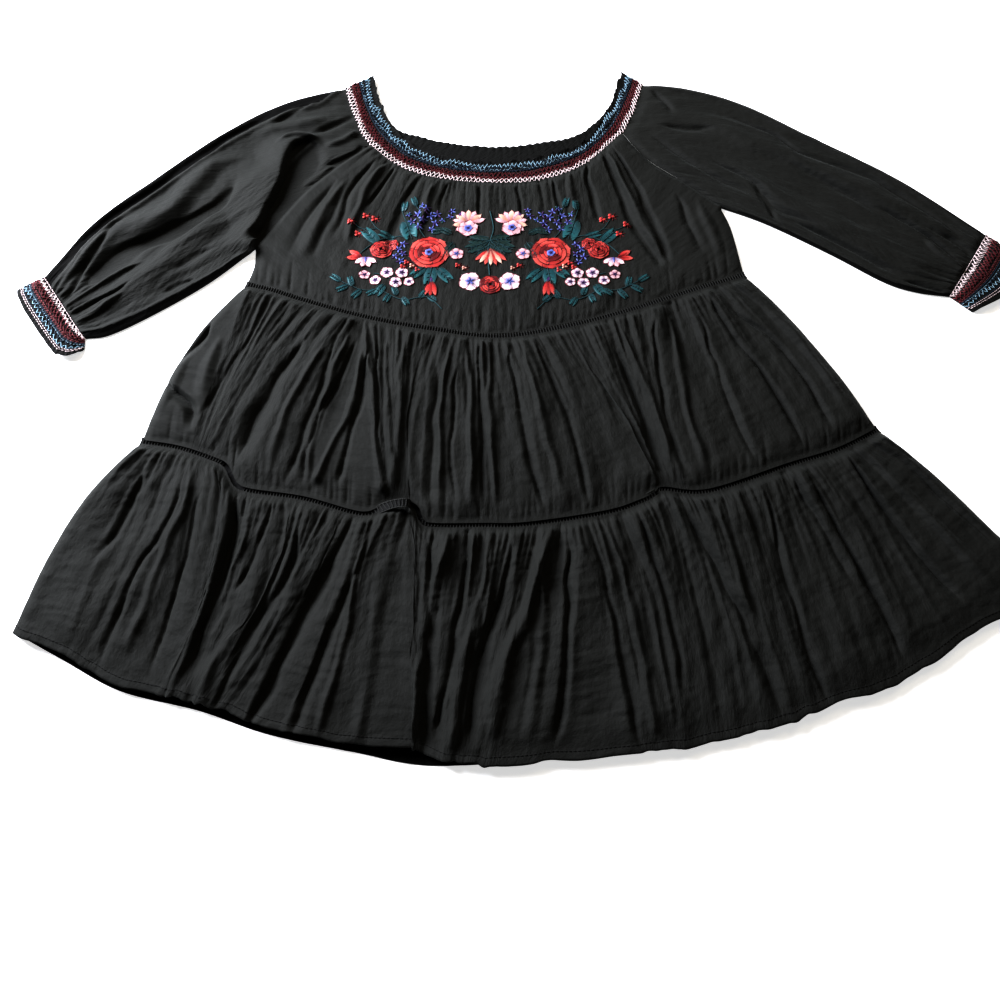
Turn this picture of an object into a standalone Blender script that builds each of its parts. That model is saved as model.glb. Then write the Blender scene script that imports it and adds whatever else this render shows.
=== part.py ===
"""A tiered dress with a smocked neckband and cuffs, laid flat with its front up.

Sizes in this file are in millimetres: x runs to the right across the front, y from the lowest
point of the hem to the neck, and z up from the surface that the dress lies on. The meshes are
in metres, with the middle of the dress's outline at the origin.
"""

import math
import random

import bpy
import numpy as np

# Driving sizes
MM = 0.001
WALL = 1.4  # the cloth's thickness, its seams and gathers included
SEAM = 0.3  # the gap between two sewn pieces, and between the layers
TRIM_WIDTH = 9.0  # the ladder trim
SMOCKING_RISE = 1.2  # how far a pleat of the neckband or a cuff stands up
FRILL_RISE = 1.9  # the same along the frill at the neck edge
TRIM_RISE = 1.0  # the trim's height over the valleys between the gathers
MIDDLE = (33.5, 416.5)  # the middle of the dress's outline

BACK_TOP = WALL
FRONT_TOP = 2 * WALL + SEAM  # the lowest that a front layer's upper side lies

# Gathers and pleats, counted along each gathered seam; a sleeve has one for each shoulder step
NECK_GATHERS = 32
TIER_GATHERS = 46
SMOCKED_PLEATS = 40
CUFF_PLEATS = 8

# Steps along the seams that three pieces share, and across the plain back pieces
RAGLAN_STEPS = 5
SHOULDER_STEPS = 4
SIDE_STEPS = 2
BACK_COLUMNS = 24
BAND_ROWS = 3
TIER_ROWS = 6
BACK_ROWS = 4
SLEEVE_ROWS = 11

# How deep the gathers are, in steps from a piece's lower edge to its upper edge
BODICE_DEPTHS = (1.4, 1.2, 1.6, 2.4, 2.0)
MIDDLE_DEPTHS = (1.2, 2.6, 3.0, 2.2)
LOWER_DEPTHS = (2.6, 3.0, 3.2, 2.4)
SLEEVE_DEPTHS = (1.0, 1.2, 1.6, 2.6)

# Outlines, each row (x, y), from the wearer's right, which lies at the left, to the left
NECK_SEAM_LEFT = [(-180, 808), (-170, 770), (-159, 738), (-145, 711)]
NECK_SEAM_FRONT = [(-145, 711), (-108, 676), (-62, 658), (0, 651), (55, 656), (104, 680), (151, 731)]
NECK_SEAM_RIGHT = [(151, 731), (164, 760), (172, 785), (180, 814)]
NECK_EDGE = [
    (-149, 827),
    (-141, 797),
    (-121, 748),
    (-88, 708),
    (-43, 691),
    (7, 685),
    (60, 697),
    (109, 722),
    (135, 770),
    (157, 833),
]
BACK_NECK_SEAM = [(-145, 711), (-112, 694), (-62, 683), (0, 677), (62, 683), (112, 700), (151, 731)]
BACK_NECK_EDGE = [
    (-149, 827),
    (-141, 797),
    (-120, 746),
    (-88, 727),
    (-45, 715),
    (7, 710),
    (58, 717),
    (100, 731),
    (135, 772),
    (157, 833),
]
RAGLAN_LEFT = [(-145, 711), (-183, 674), (-219, 629), (-260, 556)]
RAGLAN_RIGHT = [(151, 731), (176, 690), (214, 655), (254, 616)]
SIDE_LEFT = [(-260, 556), (-259, 530), (-264, 505)]
SIDE_RIGHT = [(254, 616), (263, 582), (270, 518)]
UPPER_TRIM = [
    (-264, 505),
    (-235, 497),
    (-198, 483),
    (-127, 460),
    (-57, 445),
    (7, 437),
    (73, 449),
    (143, 471),
    (216, 499),
    (270, 518),
]
LOWER_TRIM = [
    (-343, 311),
    (-304, 304),
    (-258, 284),
    (-229, 257),
    (-179, 249),
    (-133, 235),
    (-112, 234),
    (-98, 246),
    (-80, 245),
    (-54, 222),
    (32, 222),
    (106, 234),
    (157, 258),
    (205, 257),
    (284, 285),
    (334, 302),
    (378, 325),
]
BACK_LOWER_TRIM = [
    (-343, 311),
    (-267, 280),
    (-180, 247),
    (-80, 228),
    (0, 221),
    (100, 228),
    (200, 251),
    (290, 285),
    (378, 325),
]
TIER_SIDE_LEFT = [(-264, 505), (-301, 448), (-325, 391), (-343, 311)]
TIER_SIDE_RIGHT = [(270, 518), (306, 467), (349, 391), (378, 325)]
HEM_SIDE_LEFT = [(-343, 311), (-382, 254), (-406, 192), (-423, 116)]
HEM_SIDE_RIGHT = [(378, 325), (426, 270), (471, 207), (514, 152)]
HEM = [
    (-423, 116),
    (-373, 97),
    (-319, 68),
    (-249, 53),
    (-188, 32),
    (-120, 18),
    (-66, 14),
    (-20, 1),
    (60, 5),
    (143, 13),
    (228, 30),
    (290, 51),
    (363, 78),
    (430, 120),
    (514, 152),
]
BACK_HEM = [
    (-423, 116),
    (-373, 90),
    (-319, 63),
    (-249, 46),
    (-188, 26),
    (-114, 11),
    (-47, 0),
    (60, 7),
    (143, 16),
    (228, 34),
    (290, 55),
    (363, 83),
    (430, 120),
    (514, 152),
]
SLEEVE_TOP_LEFT = [(-180, 808), (-252, 782), (-318, 732), (-386, 660), (-444, 592), (-482, 517)]
SLEEVE_LOW_LEFT = [(-260, 556), (-305, 508), (-356, 467), (-398, 440), (-423, 435)]
SLEEVE_TOP_RIGHT = [(180, 814), (231, 808), (294, 782), (364, 732), (459, 660), (542, 576)]
SLEEVE_LOW_RIGHT = [(254, 616), (302, 592), (366, 549), (418, 510), (450, 496), (484, 490)]
CUFF_LEFT_END = [(-439, 414), (-482, 449), (-510, 500)]
CUFF_RIGHT_END = [(504, 469), (548, 496), (577, 539)]

# Large folds: a crest from (x1, y1) to (x2, y2), its height, and how far it falls away on the
# left and on the right of that direction
FOLDS = [
    # x1, y1, x2, y2, height, left, right
    (-92, 420, -88, -40, 16.0, 20, 56),  # the standing fold left of the middle
    (-170, 470, -280, 290, 9.0, 14, 34),  # middle tier, left
    (-262, 300, -290, 40, 9.0, 18, 30),  # under the fold in the lower trim
    (-300, 290, -380, 80, 6.0, 34, 12),
    (-120, 240, -222, 20, 8.0, 18, 14),
    (-108, 230, -182, 10, 7.0, 12, 16),
    (-62, 240, -52, -10, 5.0, 20, 10),
    (30, 230, -20, 0, 6.0, 16, 16),
    (80, 230, 70, -10, 5.0, 14, 14),
    (60, 440, 158, 250, 8.0, 14, 36),  # middle tier, right, down to the step in the trim
    (140, 262, 232, 10, 8.0, 14, 36),
    (215, 480, 300, 300, 5.0, 12, 22),
    (230, 260, 320, 40, 6.0, 14, 26),
    (300, 280, 420, 90, 5.0, 14, 22),
    (-185, 735, -292, 530, 15.0, 19, 46),  # sleeve edge above the trough at the armhole
    (-250, 740, -450, 520, 9.0, 36, 14),  # upper crest of the left sleeve
    (-300, 600, -430, 470, 6.0, 22, 26),
    (250, 760, 520, 560, 6.0, 16, 26),
    (300, 660, 480, 530, 5.0, 20, 20),
    (-100, 680, -150, 500, 5.0, 18, 18),  # bodice, from the neckband to the trim
    (110, 680, 215, 500, 5.0, 20, 16),
]


def catmull(points, per_span=24):
    """A close row of points on a smooth line through the given ones."""
    p = np.array(points, float)
    p = np.vstack([2 * p[0] - p[1], p, 2 * p[-1] - p[-2]])
    t = np.linspace(0, 1, per_span, endpoint=False)[:, None]
    spans = []
    for a, b, c, d in zip(p, p[1:], p[2:], p[3:]):
        bend = (2 * a - 5 * b + 4 * c - d) * t**2
        twist = (3 * b - a - 3 * c + d) * t**3
        spans.append(0.5 * (2 * b + (c - a) * t + bend + twist))
    return np.vstack(spans + [p[-2][None]])


def line(points, steps):
    """Points at even steps along the smooth line, ends included."""
    dense = catmull(points)
    reach = np.concatenate([[0], np.cumsum(np.linalg.norm(np.diff(dense, axis=0), axis=1))])
    at = np.linspace(0, reach[-1], steps + 1)
    return np.stack([np.interp(at, reach, dense[:, k]) for k in (0, 1)], axis=1)


def joined(*lines):
    """Lines that follow each other, as one."""
    return np.vstack([lines[0]] + [part[1:] for part in lines[1:]])


def finer(points, parts):
    """The same straight-sided line with each of its sides cut into equal parts."""
    whole = np.arange(len(points))
    at = np.linspace(0, len(points) - 1, (len(points) - 1) * parts + 1)
    return np.stack([np.interp(at, whole, points[:, k]) for k in (0, 1)], axis=1)


def beside(points, distance):
    """The line moved sideways, to its left for a positive distance."""
    along = np.gradient(points, axis=0)
    along /= np.linalg.norm(along, axis=1)[:, None]
    return points + distance * np.stack([-along[:, 1], along[:, 0]], axis=1)


def patch(bottom, top, left, right):
    """Plan points between four lines, in rows from the bottom to the top."""
    u = np.linspace(0, 1, len(bottom))[None, :, None]
    v = np.linspace(0, 1, len(left))[:, None, None]
    across = (1 - v) * bottom[None] + v * top[None]
    along = (1 - u) * left[:, None] + u * right[:, None]
    corners = (1 - u) * (1 - v) * bottom[0] + u * (1 - v) * bottom[-1]
    corners = corners + (1 - u) * v * top[0] + u * v * top[-1]
    return across + along - corners


def ease(t):
    """0 to 1 with soft ends."""
    t = np.clip(t, 0, 1)
    return t * t * (3 - 2 * t)


def large_folds(plan):
    """The height of the large folds over plan points."""
    height = np.zeros(plan.shape[:-1])
    for x1, y1, x2, y2, high, left, right in FOLDS:
        start = np.array((x1, y1), float)
        way = np.array((x2, y2), float) - start
        length = np.linalg.norm(way)
        way = way / length
        rel = plan - start
        along = rel @ way / length
        aside = rel[..., 1] * way[0] - rel[..., 0] * way[1]
        width = np.where(aside > 0, left, right)
        ends = ease(along / 0.2) * ease((1 - along) / 0.2)
        height = np.maximum(height, high * ends * ease(1 - np.abs(aside) / width))
    return height


def gathers(columns, rows, depths, seed):
    """Heights of uneven gathers, a ridge at every second column, over a grid's rows."""
    rng = random.Random(seed)
    ridge = np.array([rng.uniform(0.55, 1.0) * (k % 2) for k in range(columns + 1)])
    drift = np.array([rng.uniform(0.0, 0.35) for k in range(columns + 1)])
    share = np.linspace(0, 1, rows + 1)
    depth = np.interp(share, np.linspace(0, 1, len(depths)), depths)[:, None]
    return depth * (ridge[None] + drift[None] * np.sin(math.pi * share)[:, None])


def pleats(columns, rows):
    """Heights of smocked pleats, which change sides from row to row."""
    return SMOCKING_RISE * np.array([[(c + r) % 2 for c in range(columns + 1)] for r in range(rows + 1)])


def material(name, colour, roughness):
    found = bpy.data.materials.get(name)
    if found:
        return found
    made = bpy.data.materials.new(name)
    made.use_nodes = True
    shader = made.node_tree.nodes["Principled BSDF"]
    shader.inputs["Base Color"].default_value = (*colour, 1.0)
    shader.inputs["Roughness"].default_value = roughness
    return made


def rayon():
    return material("black rayon", (0.022, 0.024, 0.026), 0.7)


def smocking():
    return material("smocked band", (0.12, 0.05, 0.06), 0.8)


def trim_thread():
    return material("black trim", (0.012, 0.012, 0.013), 0.8)


def make_object(name, points, faces, look):
    """One closed solid from points in millimetres, with its faces turned outwards."""
    p = np.array(points, float)
    p[:, 0] -= MIDDLE[0]
    p[:, 1] -= MIDDLE[1]
    volume = 0.0
    for face in faces:
        a = p[face[0]]
        for b, c in zip(face[1:], face[2:]):
            volume += np.dot(a, np.cross(p[b], p[c]))
    if volume < 0:
        faces = [face[::-1] for face in faces]
    mesh = bpy.data.meshes.new(name)
    mesh.from_pydata((p * MM).tolist(), [], faces)
    mesh.materials.append(look)
    mesh.shade_smooth()
    mesh.set_sharp_from_angle(angle=math.radians(50))
    made = bpy.data.objects.new(name, mesh)
    bpy.context.scene.collection.objects.link(made)
    return made


def grid_faces(rows, columns, first, wrap=False):
    """The quads of a grid of points, whose columns may close into a ring."""
    wide = columns if wrap else columns + 1
    faces = []
    for r in range(rows):
        for c in range(columns):
            a = first + r * wide + c
            b = first + r * wide + (c + 1) % wide
            faces.append([a, b, b + wide, a + wide])
    return faces


def sheet_solid(name, plan, upper, lower, look):
    """A cloth wall over a grid of plan points, between two heights."""
    rows, columns = plan.shape[0] - 1, plan.shape[1] - 1
    wide = columns + 1
    count = plan.shape[0] * plan.shape[1]
    points = [np.column_stack([plan.reshape(-1, 2), z.reshape(-1)]) for z in (upper, lower)]
    faces = grid_faces(rows, columns, 0)
    faces += [face[::-1] for face in grid_faces(rows, columns, count)]
    rim = [c for c in range(wide)]
    rim += [r * wide + columns for r in range(1, rows + 1)]
    rim += [rows * wide + c for c in range(columns - 1, -1, -1)]
    rim += [r * wide for r in range(rows - 1, 0, -1)]
    for a, b in zip(rim, rim[1:] + rim[:1]):
        faces.append([a, a + count, b + count, b])
    return make_object(name, np.vstack(points), faces, look)


def front_sheet(name, plan, rise, look):
    """A front piece, its gathers added to the large folds that run through it."""
    upper = FRONT_TOP + large_folds(plan) + rise
    return sheet_solid(name, plan, upper, upper - WALL, look)


def back_sheet(name, plan, look):
    """A back piece, flat on the surface."""
    flat = np.zeros(plan.shape[:-1])
    return sheet_solid(name, plan, flat + BACK_TOP, flat, look)


def tube_solid(name, plan, upper, look):
    """A tube laid flat and open at both ends: rows run along it, columns across its front.

    Its back has half as many columns.
    """
    rows, columns = plan.shape[0] - 1, plan.shape[1] - 1
    width = np.linalg.norm(plan[:, -1] - plan[:, 0], axis=1)[:, None, None]
    back_at = np.arange(columns, -1, -2)
    edge = WALL / width
    place = np.linspace(0, 1, columns + 1)[None, :, None]
    inner_place = edge + place * (1 - 2 * edge)
    first, last = plan[:, :1], plan[:, -1:]
    straight = first + place * (last - first)
    inner_plan = plan - straight + first + inner_place * (last - first)
    rings = []
    for flat_points, front_z, back_z in ((plan, upper, 0.0), (inner_plan, upper - WALL, WALL)):
        front = np.dstack([flat_points, front_z])
        under = np.dstack([flat_points[:, back_at], np.full((rows + 1, len(back_at)), back_z)])
        rings.append(np.concatenate([front, under], axis=1))
    wide = rings[0].shape[1]
    count = wide * (rows + 1)
    faces = grid_faces(rows, wide, 0, wrap=True)
    faces += [face[::-1] for face in grid_faces(rows, wide, count, wrap=True)]
    for c in range(wide):
        d = (c + 1) % wide
        faces.append([c + count, d + count, d, c])
        end = rows * wide
        faces.append([end + c, end + d, end + d + count, end + c + count])
    points = np.vstack([ring.reshape(-1, 3) for ring in rings])
    return make_object(name, points, faces, look)


def inset(plan, bottom, top=0.0):
    """The plan with its lower and upper edges moved in by the given amounts."""
    made = plan.copy()
    made[0] = beside(plan[0], bottom)
    made[-1] = beside(plan[-1], -top)
    return made


def build_bodice():
    rows = SIDE_STEPS + RAGLAN_STEPS
    left = joined(line(SIDE_LEFT[::-1], SIDE_STEPS), line(RAGLAN_LEFT[::-1], RAGLAN_STEPS))
    right = joined(line(SIDE_RIGHT[::-1], SIDE_STEPS), line(RAGLAN_RIGHT[::-1], RAGLAN_STEPS))
    to_trim = TRIM_WIDTH / 2 + SEAM
    columns = 2 * NECK_GATHERS
    plan = patch(line(UPPER_TRIM, columns), line(NECK_SEAM_FRONT, columns), left, right)
    rise = gathers(columns, rows, BODICE_DEPTHS, 11)
    front_sheet("bodice_front", inset(plan, to_trim), rise, rayon())
    columns = BACK_COLUMNS
    plan = patch(line(UPPER_TRIM, columns), line(BACK_NECK_SEAM, columns), left, right)
    back_sheet("bodice_back", inset(plan, to_trim), rayon())


def tier_plan(low, top, sides, columns, rows, to_low):
    """Plan points of a tier between its lower edge and the trim above it."""
    left, right = (line(side[::-1], rows) for side in sides)
    plan = patch(line(low, columns), line(top, columns), left, right)
    return inset(plan, to_low, TRIM_WIDTH / 2 + SEAM)


def build_tiers():
    to_trim = TRIM_WIDTH / 2 + SEAM
    columns = 2 * TIER_GATHERS
    sides = (TIER_SIDE_LEFT, TIER_SIDE_RIGHT)
    plan = tier_plan(LOWER_TRIM, UPPER_TRIM, sides, columns, TIER_ROWS, to_trim)
    front_sheet("middle_tier_front", plan, gathers(columns, TIER_ROWS, MIDDLE_DEPTHS, 21), rayon())
    plan = tier_plan(BACK_LOWER_TRIM, UPPER_TRIM, sides, BACK_COLUMNS, BACK_ROWS, to_trim)
    back_sheet("middle_tier_back", plan, rayon())
    sides = (HEM_SIDE_LEFT, HEM_SIDE_RIGHT)
    plan = tier_plan(HEM, LOWER_TRIM, sides, columns, TIER_ROWS, 0.0)
    front_sheet("lower_tier_front", plan, gathers(columns, TIER_ROWS, LOWER_DEPTHS, 31), rayon())
    plan = tier_plan(BACK_HEM, BACK_LOWER_TRIM, sides, BACK_COLUMNS, BACK_ROWS, 0.0)
    back_sheet("lower_tier_back", plan, rayon())


def trim_plan(points, columns):
    """Plan points of a trim's two edges, beside its middle line."""
    middle = line(points, columns)
    return np.stack([beside(middle, side * TRIM_WIDTH / 2) for side in (-1, 1)])


def build_trims():
    for name, front, back in (("upper", UPPER_TRIM, UPPER_TRIM), ("lower", LOWER_TRIM, BACK_LOWER_TRIM)):
        front_sheet(f"{name}_trim_front", trim_plan(front, 2 * TIER_GATHERS), TRIM_RISE, trim_thread())
        back_sheet(f"{name}_trim_back", trim_plan(back, BACK_COLUMNS), trim_thread())


def build_neckbands():
    shoulders = [line(seam, SHOULDER_STEPS) for seam in (NECK_SEAM_LEFT, NECK_SEAM_RIGHT)]
    finely = [finer(seam, 4) for seam in shoulders]
    columns = 2 * SMOCKED_PLEATS
    middle = line(NECK_SEAM_FRONT, columns - 8 * SHOULDER_STEPS)
    seam = beside(joined(finely[0], middle, finely[1]), SEAM)
    share = np.linspace(0, 1, BAND_ROWS + 1)[:, None, None]
    plan = (1 - share) * seam + share * line(NECK_EDGE, columns)
    rise = pleats(columns, BAND_ROWS)
    rise[-1] *= FRILL_RISE / SMOCKING_RISE
    inside = FRONT_TOP - WALL + large_folds(plan)
    sheet_solid("neckband_front", plan, inside + WALL + rise, inside, smocking())
    seam = beside(joined(shoulders[0], line(BACK_NECK_SEAM, BACK_COLUMNS), shoulders[1]), SEAM)
    edge = line(BACK_NECK_EDGE, len(seam) - 1)
    back_sheet("neckband_back", np.stack([seam, (seam + edge) / 2, edge]), rayon())


def laid_flat(rise):
    """Heights across a tube, down to nothing at its two side folds."""
    rise[:, 0] = 0
    rise[:, -1] = 0
    return rise


def build_sleeve(name, raglan, shoulder, top, low, outward, seed):
    """A sleeve, from the raglan and shoulder seams to the cuff; outward is 1 or -1."""
    seam = finer(joined(line(raglan[::-1], RAGLAN_STEPS), line(shoulder, SHOULDER_STEPS)), 2)
    columns = len(seam) - 1
    wrist = line([low[-1], top[-1]], columns)
    plan = patch(seam, wrist, line(low, SLEEVE_ROWS), line(top, SLEEVE_ROWS))
    plan[0] = beside(plan[0], outward * SEAM)
    plan[-1] = beside(plan[-1], -outward * SEAM)
    rise = large_folds(plan) + gathers(columns, SLEEVE_ROWS, SLEEVE_DEPTHS, seed)
    tube_solid(name, plan, FRONT_TOP + laid_flat(rise), rayon())


def build_cuff(name, wrist, end):
    """A smocked cuff, from the wrist's two corners to its free edge."""
    columns = 2 * CUFF_PLEATS
    share = np.linspace(0, 1, BAND_ROWS + 1)[:, None, None]
    plan = (1 - share) * line(wrist, columns) + share * line(end, columns)
    tube_solid(name, plan, FRONT_TOP + laid_flat(pleats(columns, BAND_ROWS)), smocking())


def build_sleeves():
    top, low = SLEEVE_TOP_LEFT, SLEEVE_LOW_LEFT
    build_sleeve("sleeve_left", RAGLAN_LEFT, NECK_SEAM_LEFT[::-1], top, low, 1, 41)
    build_cuff("cuff_left", [low[-1], top[-1]], CUFF_LEFT_END)
    top, low = SLEEVE_TOP_RIGHT, SLEEVE_LOW_RIGHT
    build_sleeve("sleeve_right", RAGLAN_RIGHT, NECK_SEAM_RIGHT, top, low, -1, 43)
    build_cuff("cuff_right", [low[-1], top[-1]], CUFF_RIGHT_END)


def main():
    for old in list(bpy.data.objects):
        bpy.data.objects.remove(old, do_unlink=True)
    build_neckbands()
    build_bodice()
    build_trims()
    build_tiers()
    build_sleeves()


main()
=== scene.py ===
"""The looks of a tiered dress that lies flat with its front up.

Sizes in this file are in millimetres: x runs to the right across the front, y from the lowest
point of the hem to the neck, and z up from the surface that the dress lies on. The meshes are in
metres, with the middle of the dress's outline at the origin.
"""

import math
import random

import bpy
import numpy as np
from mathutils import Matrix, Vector
from mathutils.bvhtree import BVHTree


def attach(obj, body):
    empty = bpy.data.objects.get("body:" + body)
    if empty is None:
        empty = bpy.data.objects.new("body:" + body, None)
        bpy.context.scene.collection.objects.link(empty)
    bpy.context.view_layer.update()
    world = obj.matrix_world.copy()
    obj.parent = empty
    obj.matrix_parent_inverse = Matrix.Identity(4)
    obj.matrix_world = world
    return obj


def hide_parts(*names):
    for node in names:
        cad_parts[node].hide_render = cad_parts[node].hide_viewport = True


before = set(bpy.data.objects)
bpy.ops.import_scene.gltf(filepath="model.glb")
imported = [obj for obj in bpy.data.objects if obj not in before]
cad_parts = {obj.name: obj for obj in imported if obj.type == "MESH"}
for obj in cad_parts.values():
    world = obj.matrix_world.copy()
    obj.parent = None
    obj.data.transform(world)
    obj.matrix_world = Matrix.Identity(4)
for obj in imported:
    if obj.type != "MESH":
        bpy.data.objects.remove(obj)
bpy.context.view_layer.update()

# Sizes of the dress and its threads
MM = 0.001
TRIM_WIDTH = 9.0
TAPE_HALF = 0.86 * TRIM_WIDTH / 2
PANEL_INSET = TRIM_WIDTH / 2 - 2.4
TRIM_LIFT = 1.3
HEM_DEPTH = 7.5
TUCK_ROWS = 4
# Columns of points across the back of a sleeve
BACK_COLUMNS = 24
RUNG_STEP = 2.9
NECK_STITCH = 5.4
CUFF_STITCH = 5.6
THREAD_TWIST = 4.0
MIDDLE = (33.5, 416.5)
FRONT_TOP = 3.1
# The height of the outer edges of the panels and of the flattened tubes
PANEL_EDGE = 1.5
TUBE_EDGE = 1.3
# The share of a large fold's height that the front panels and trims take
FOLD_SHARE = 0.86
# Half a tape's width and a band's depth in the cloth's map, in metres
TAPE_MAP = 0.0045
BAND_MAP = 0.034

# The camera's pitch makes a raised point look this much further from the hem for each mm of rise
RISE_SHIFT = 0.512

NECK_SEAM_LEFT = [(-180, 808), (-170, 770), (-159, 738), (-145, 711)]
NECK_SEAM_FRONT = [(-145, 711), (-108, 676), (-62, 658), (0, 651), (55, 656), (104, 680), (151, 731)]
NECK_SEAM_RIGHT = [(151, 731), (164, 760), (172, 785), (180, 814)]
NECK_EDGE = [
    (-149, 827), (-141, 797), (-121, 748), (-88, 708), (-43, 691), (7, 685), (60, 697), (109, 722),
    (135, 770), (157, 833),
]
BACK_NECK_SEAM = [(-145, 711), (-112, 694), (-62, 683), (0, 677), (62, 683), (112, 700), (151, 731)]
BACK_NECK_EDGE = [
    (-149, 827), (-141, 797), (-120, 746), (-88, 727), (-45, 715), (7, 710), (58, 717), (100, 731),
    (135, 772), (157, 833),
]
RAGLAN_LEFT = [(-145, 711), (-183, 674), (-219, 629), (-260, 556)]
RAGLAN_RIGHT = [(151, 731), (176, 690), (214, 655), (254, 616)]
SIDE_LEFT = [(-260, 556), (-259, 530), (-264, 505)]
SIDE_RIGHT = [(254, 616), (263, 582), (270, 518)]
UPPER_TRIM = [
    (-264, 505), (-235, 497), (-198, 483), (-127, 460), (-57, 445), (7, 437), (73, 449), (143, 471),
    (216, 499), (270, 518),
]
# The lower trim, with the steps that the folds over it make
LOWER_TRIM_SHOWN = [
    (-343, 311), (-304, 304), (-268, 291), (-256, 284), (-249, 272), (-243, 263), (-229, 257),
    (-179, 249), (-133, 235), (-117, 233), (-108, 237), (-99, 242), (-90, 244), (-78, 243), (-71, 238),
    (-66, 226), (-56, 221), (-10, 221), (32, 222), (106, 234), (140, 246), (153, 254), (162, 259),
    (205, 257), (284, 285), (334, 302), (378, 325),
]
LOWER_TRIM_STRIPS = [
    [(-343, 311), (-304, 304), (-268, 292), (-256, 285)],
    [(-238, 260), (-229, 257), (-179, 249), (-133, 235), (-117, 233), (-108, 237), (-99, 242),
        (-90, 244), (-75, 243)],
    [(-71, 224), (-54, 222), (-10, 221), (32, 222), (106, 234), (140, 247), (157, 257)],
    [(152, 259), (176, 257), (205, 257), (284, 285), (334, 302), (378, 325)],
]
# Where the trim runs unseen under a fold; a lowered strip of the dark tape there shows as painted shade
LOWER_TRIM_UNDER = [
    [(-262, 288), (-256, 284), (-249, 272), (-243, 263), (-234, 259)],
    [(-80, 243), (-71, 238), (-66, 226), (-60, 222)],
]
BACK_LOWER_TRIM = [
    (-343, 311), (-267, 280), (-180, 247), (-80, 228), (0, 221), (100, 228), (200, 251), (290, 285),
    (378, 325),
]
TIER_SIDE_LEFT = [(-264, 505), (-301, 448), (-325, 391), (-343, 311)]
TIER_SIDE_RIGHT = [(270, 518), (306, 467), (349, 391), (378, 325)]
HEM_SIDE_LEFT = [(-343, 311), (-382, 254), (-406, 192), (-423, 116)]
HEM_SIDE_RIGHT = [(378, 325), (426, 270), (471, 207), (514, 152)]
HEM = [
    (-423, 116), (-373, 97), (-319, 68), (-249, 53), (-188, 32), (-120, 18), (-66, 14), (-20, 1),
    (60, 5), (143, 13), (228, 30), (290, 51), (363, 78), (430, 120), (514, 152),
]
BACK_HEM = [
    (-423, 116), (-373, 90), (-319, 63), (-249, 46), (-188, 26), (-114, 11), (-47, 0), (60, 7),
    (143, 16), (228, 34), (290, 55), (363, 83), (430, 120), (514, 152),
]
SLEEVE_TOP_LEFT = [(-180, 808), (-252, 782), (-318, 732), (-386, 660), (-444, 592), (-482, 517)]
SLEEVE_LOW_LEFT = [(-260, 556), (-305, 508), (-356, 467), (-398, 440), (-423, 435)]
SLEEVE_TOP_RIGHT = [(180, 814), (231, 808), (294, 782), (364, 732), (459, 660), (542, 576)]
SLEEVE_LOW_RIGHT = [(254, 616), (302, 592), (366, 549), (418, 510), (450, 496), (484, 490)]
CUFF_LEFT_SHOWN = [(-421, 421), (-427, 415), (-435, 412), (-443, 414), (-451, 419), (-488, 467),
    (-508, 499)]
CUFF_RIGHT_END = [(504, 469), (548, 496), (577, 539)]

# Large folds, which also lift the trims and bands that they cross. Each row: the height, how far
# the fold reaches on the right hand and on the left hand of one who walks along it, how far its
# crest leans to +x for each mm of height, the shares of its length over which it rises and falls
# away, and its line.
LARGE = [
    (15, 26, 9, 0.5, 0.4, 0, [(-66, 436), (-80, 390), (-90, 345), (-88, 253), (-79, 185), (-76, 96),
        (-74, 8)]),
    (9, 20, 13, 0.2, 0.3, 0.2, [(-196, 474), (-214, 430), (-240, 378), (-262, 330), (-274, 285)]),
    (11, 28, 8, 0.4, 0.15, 0, [(-268, 296), (-256, 215), (-262, 162), (-270, 112), (-288, 50)]),
    (8, 8, 24, 0, 0.15, 0.1, [(-313, 290), (-336, 209), (-348, 160), (-362, 110), (-370, 80)]),
    (9, 26, 7, 0.5, 0.35, 0.12, [(78, 440), (92, 402), (127, 328), (148, 272), (155, 246)]),
    (5, 22, 9, 0.3, 0.15, 0, [(158, 256), (178, 195), (201, 136), (214, 95), (226, 22)]),
    (9, 16, 8, 0.4, 0.2, 0.12, [(-189, 246), (-199, 190), (-216, 140), (-236, 108)]),
    (11, 13, 10, 0.3, 0.15, 0, [(-143, 236), (-166, 168), (-194, 123), (-219, 32)]),
    (8, 12, 9, 0.3, 0.2, 0, [(-122, 232), (-147, 151), (-160, 86), (-186, 20)]),
    (5, 16, 11, 0.2, 0.2, 0, [(62, 228), (92, 160), (92, 84), (86, 5)]),
    (5, 16, 11, 0.2, 0.2, 0, [(119, 236), (138, 150), (146, 80), (150, 12)]),
    (6, 18, 11, 0.2, 0.2, 0, [(222, 262), (246, 190), (262, 110), (270, 40)]),
    (6, 18, 11, 0.2, 0.2, 0, [(283, 285), (318, 205), (336, 140), (346, 70)]),
    (6, 20, 11, 0.2, 0.2, 0, [(332, 300), (378, 215), (418, 130), (424, 110)]),
    (6, 20, 10, 0.2, 0.2, 0.1, [(222, 500), (262, 400), (300, 300)]),
    (5, 18, 10, 0.2, 0.2, 0.1, [(180, 486), (205, 400), (232, 285)]),
]
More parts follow.
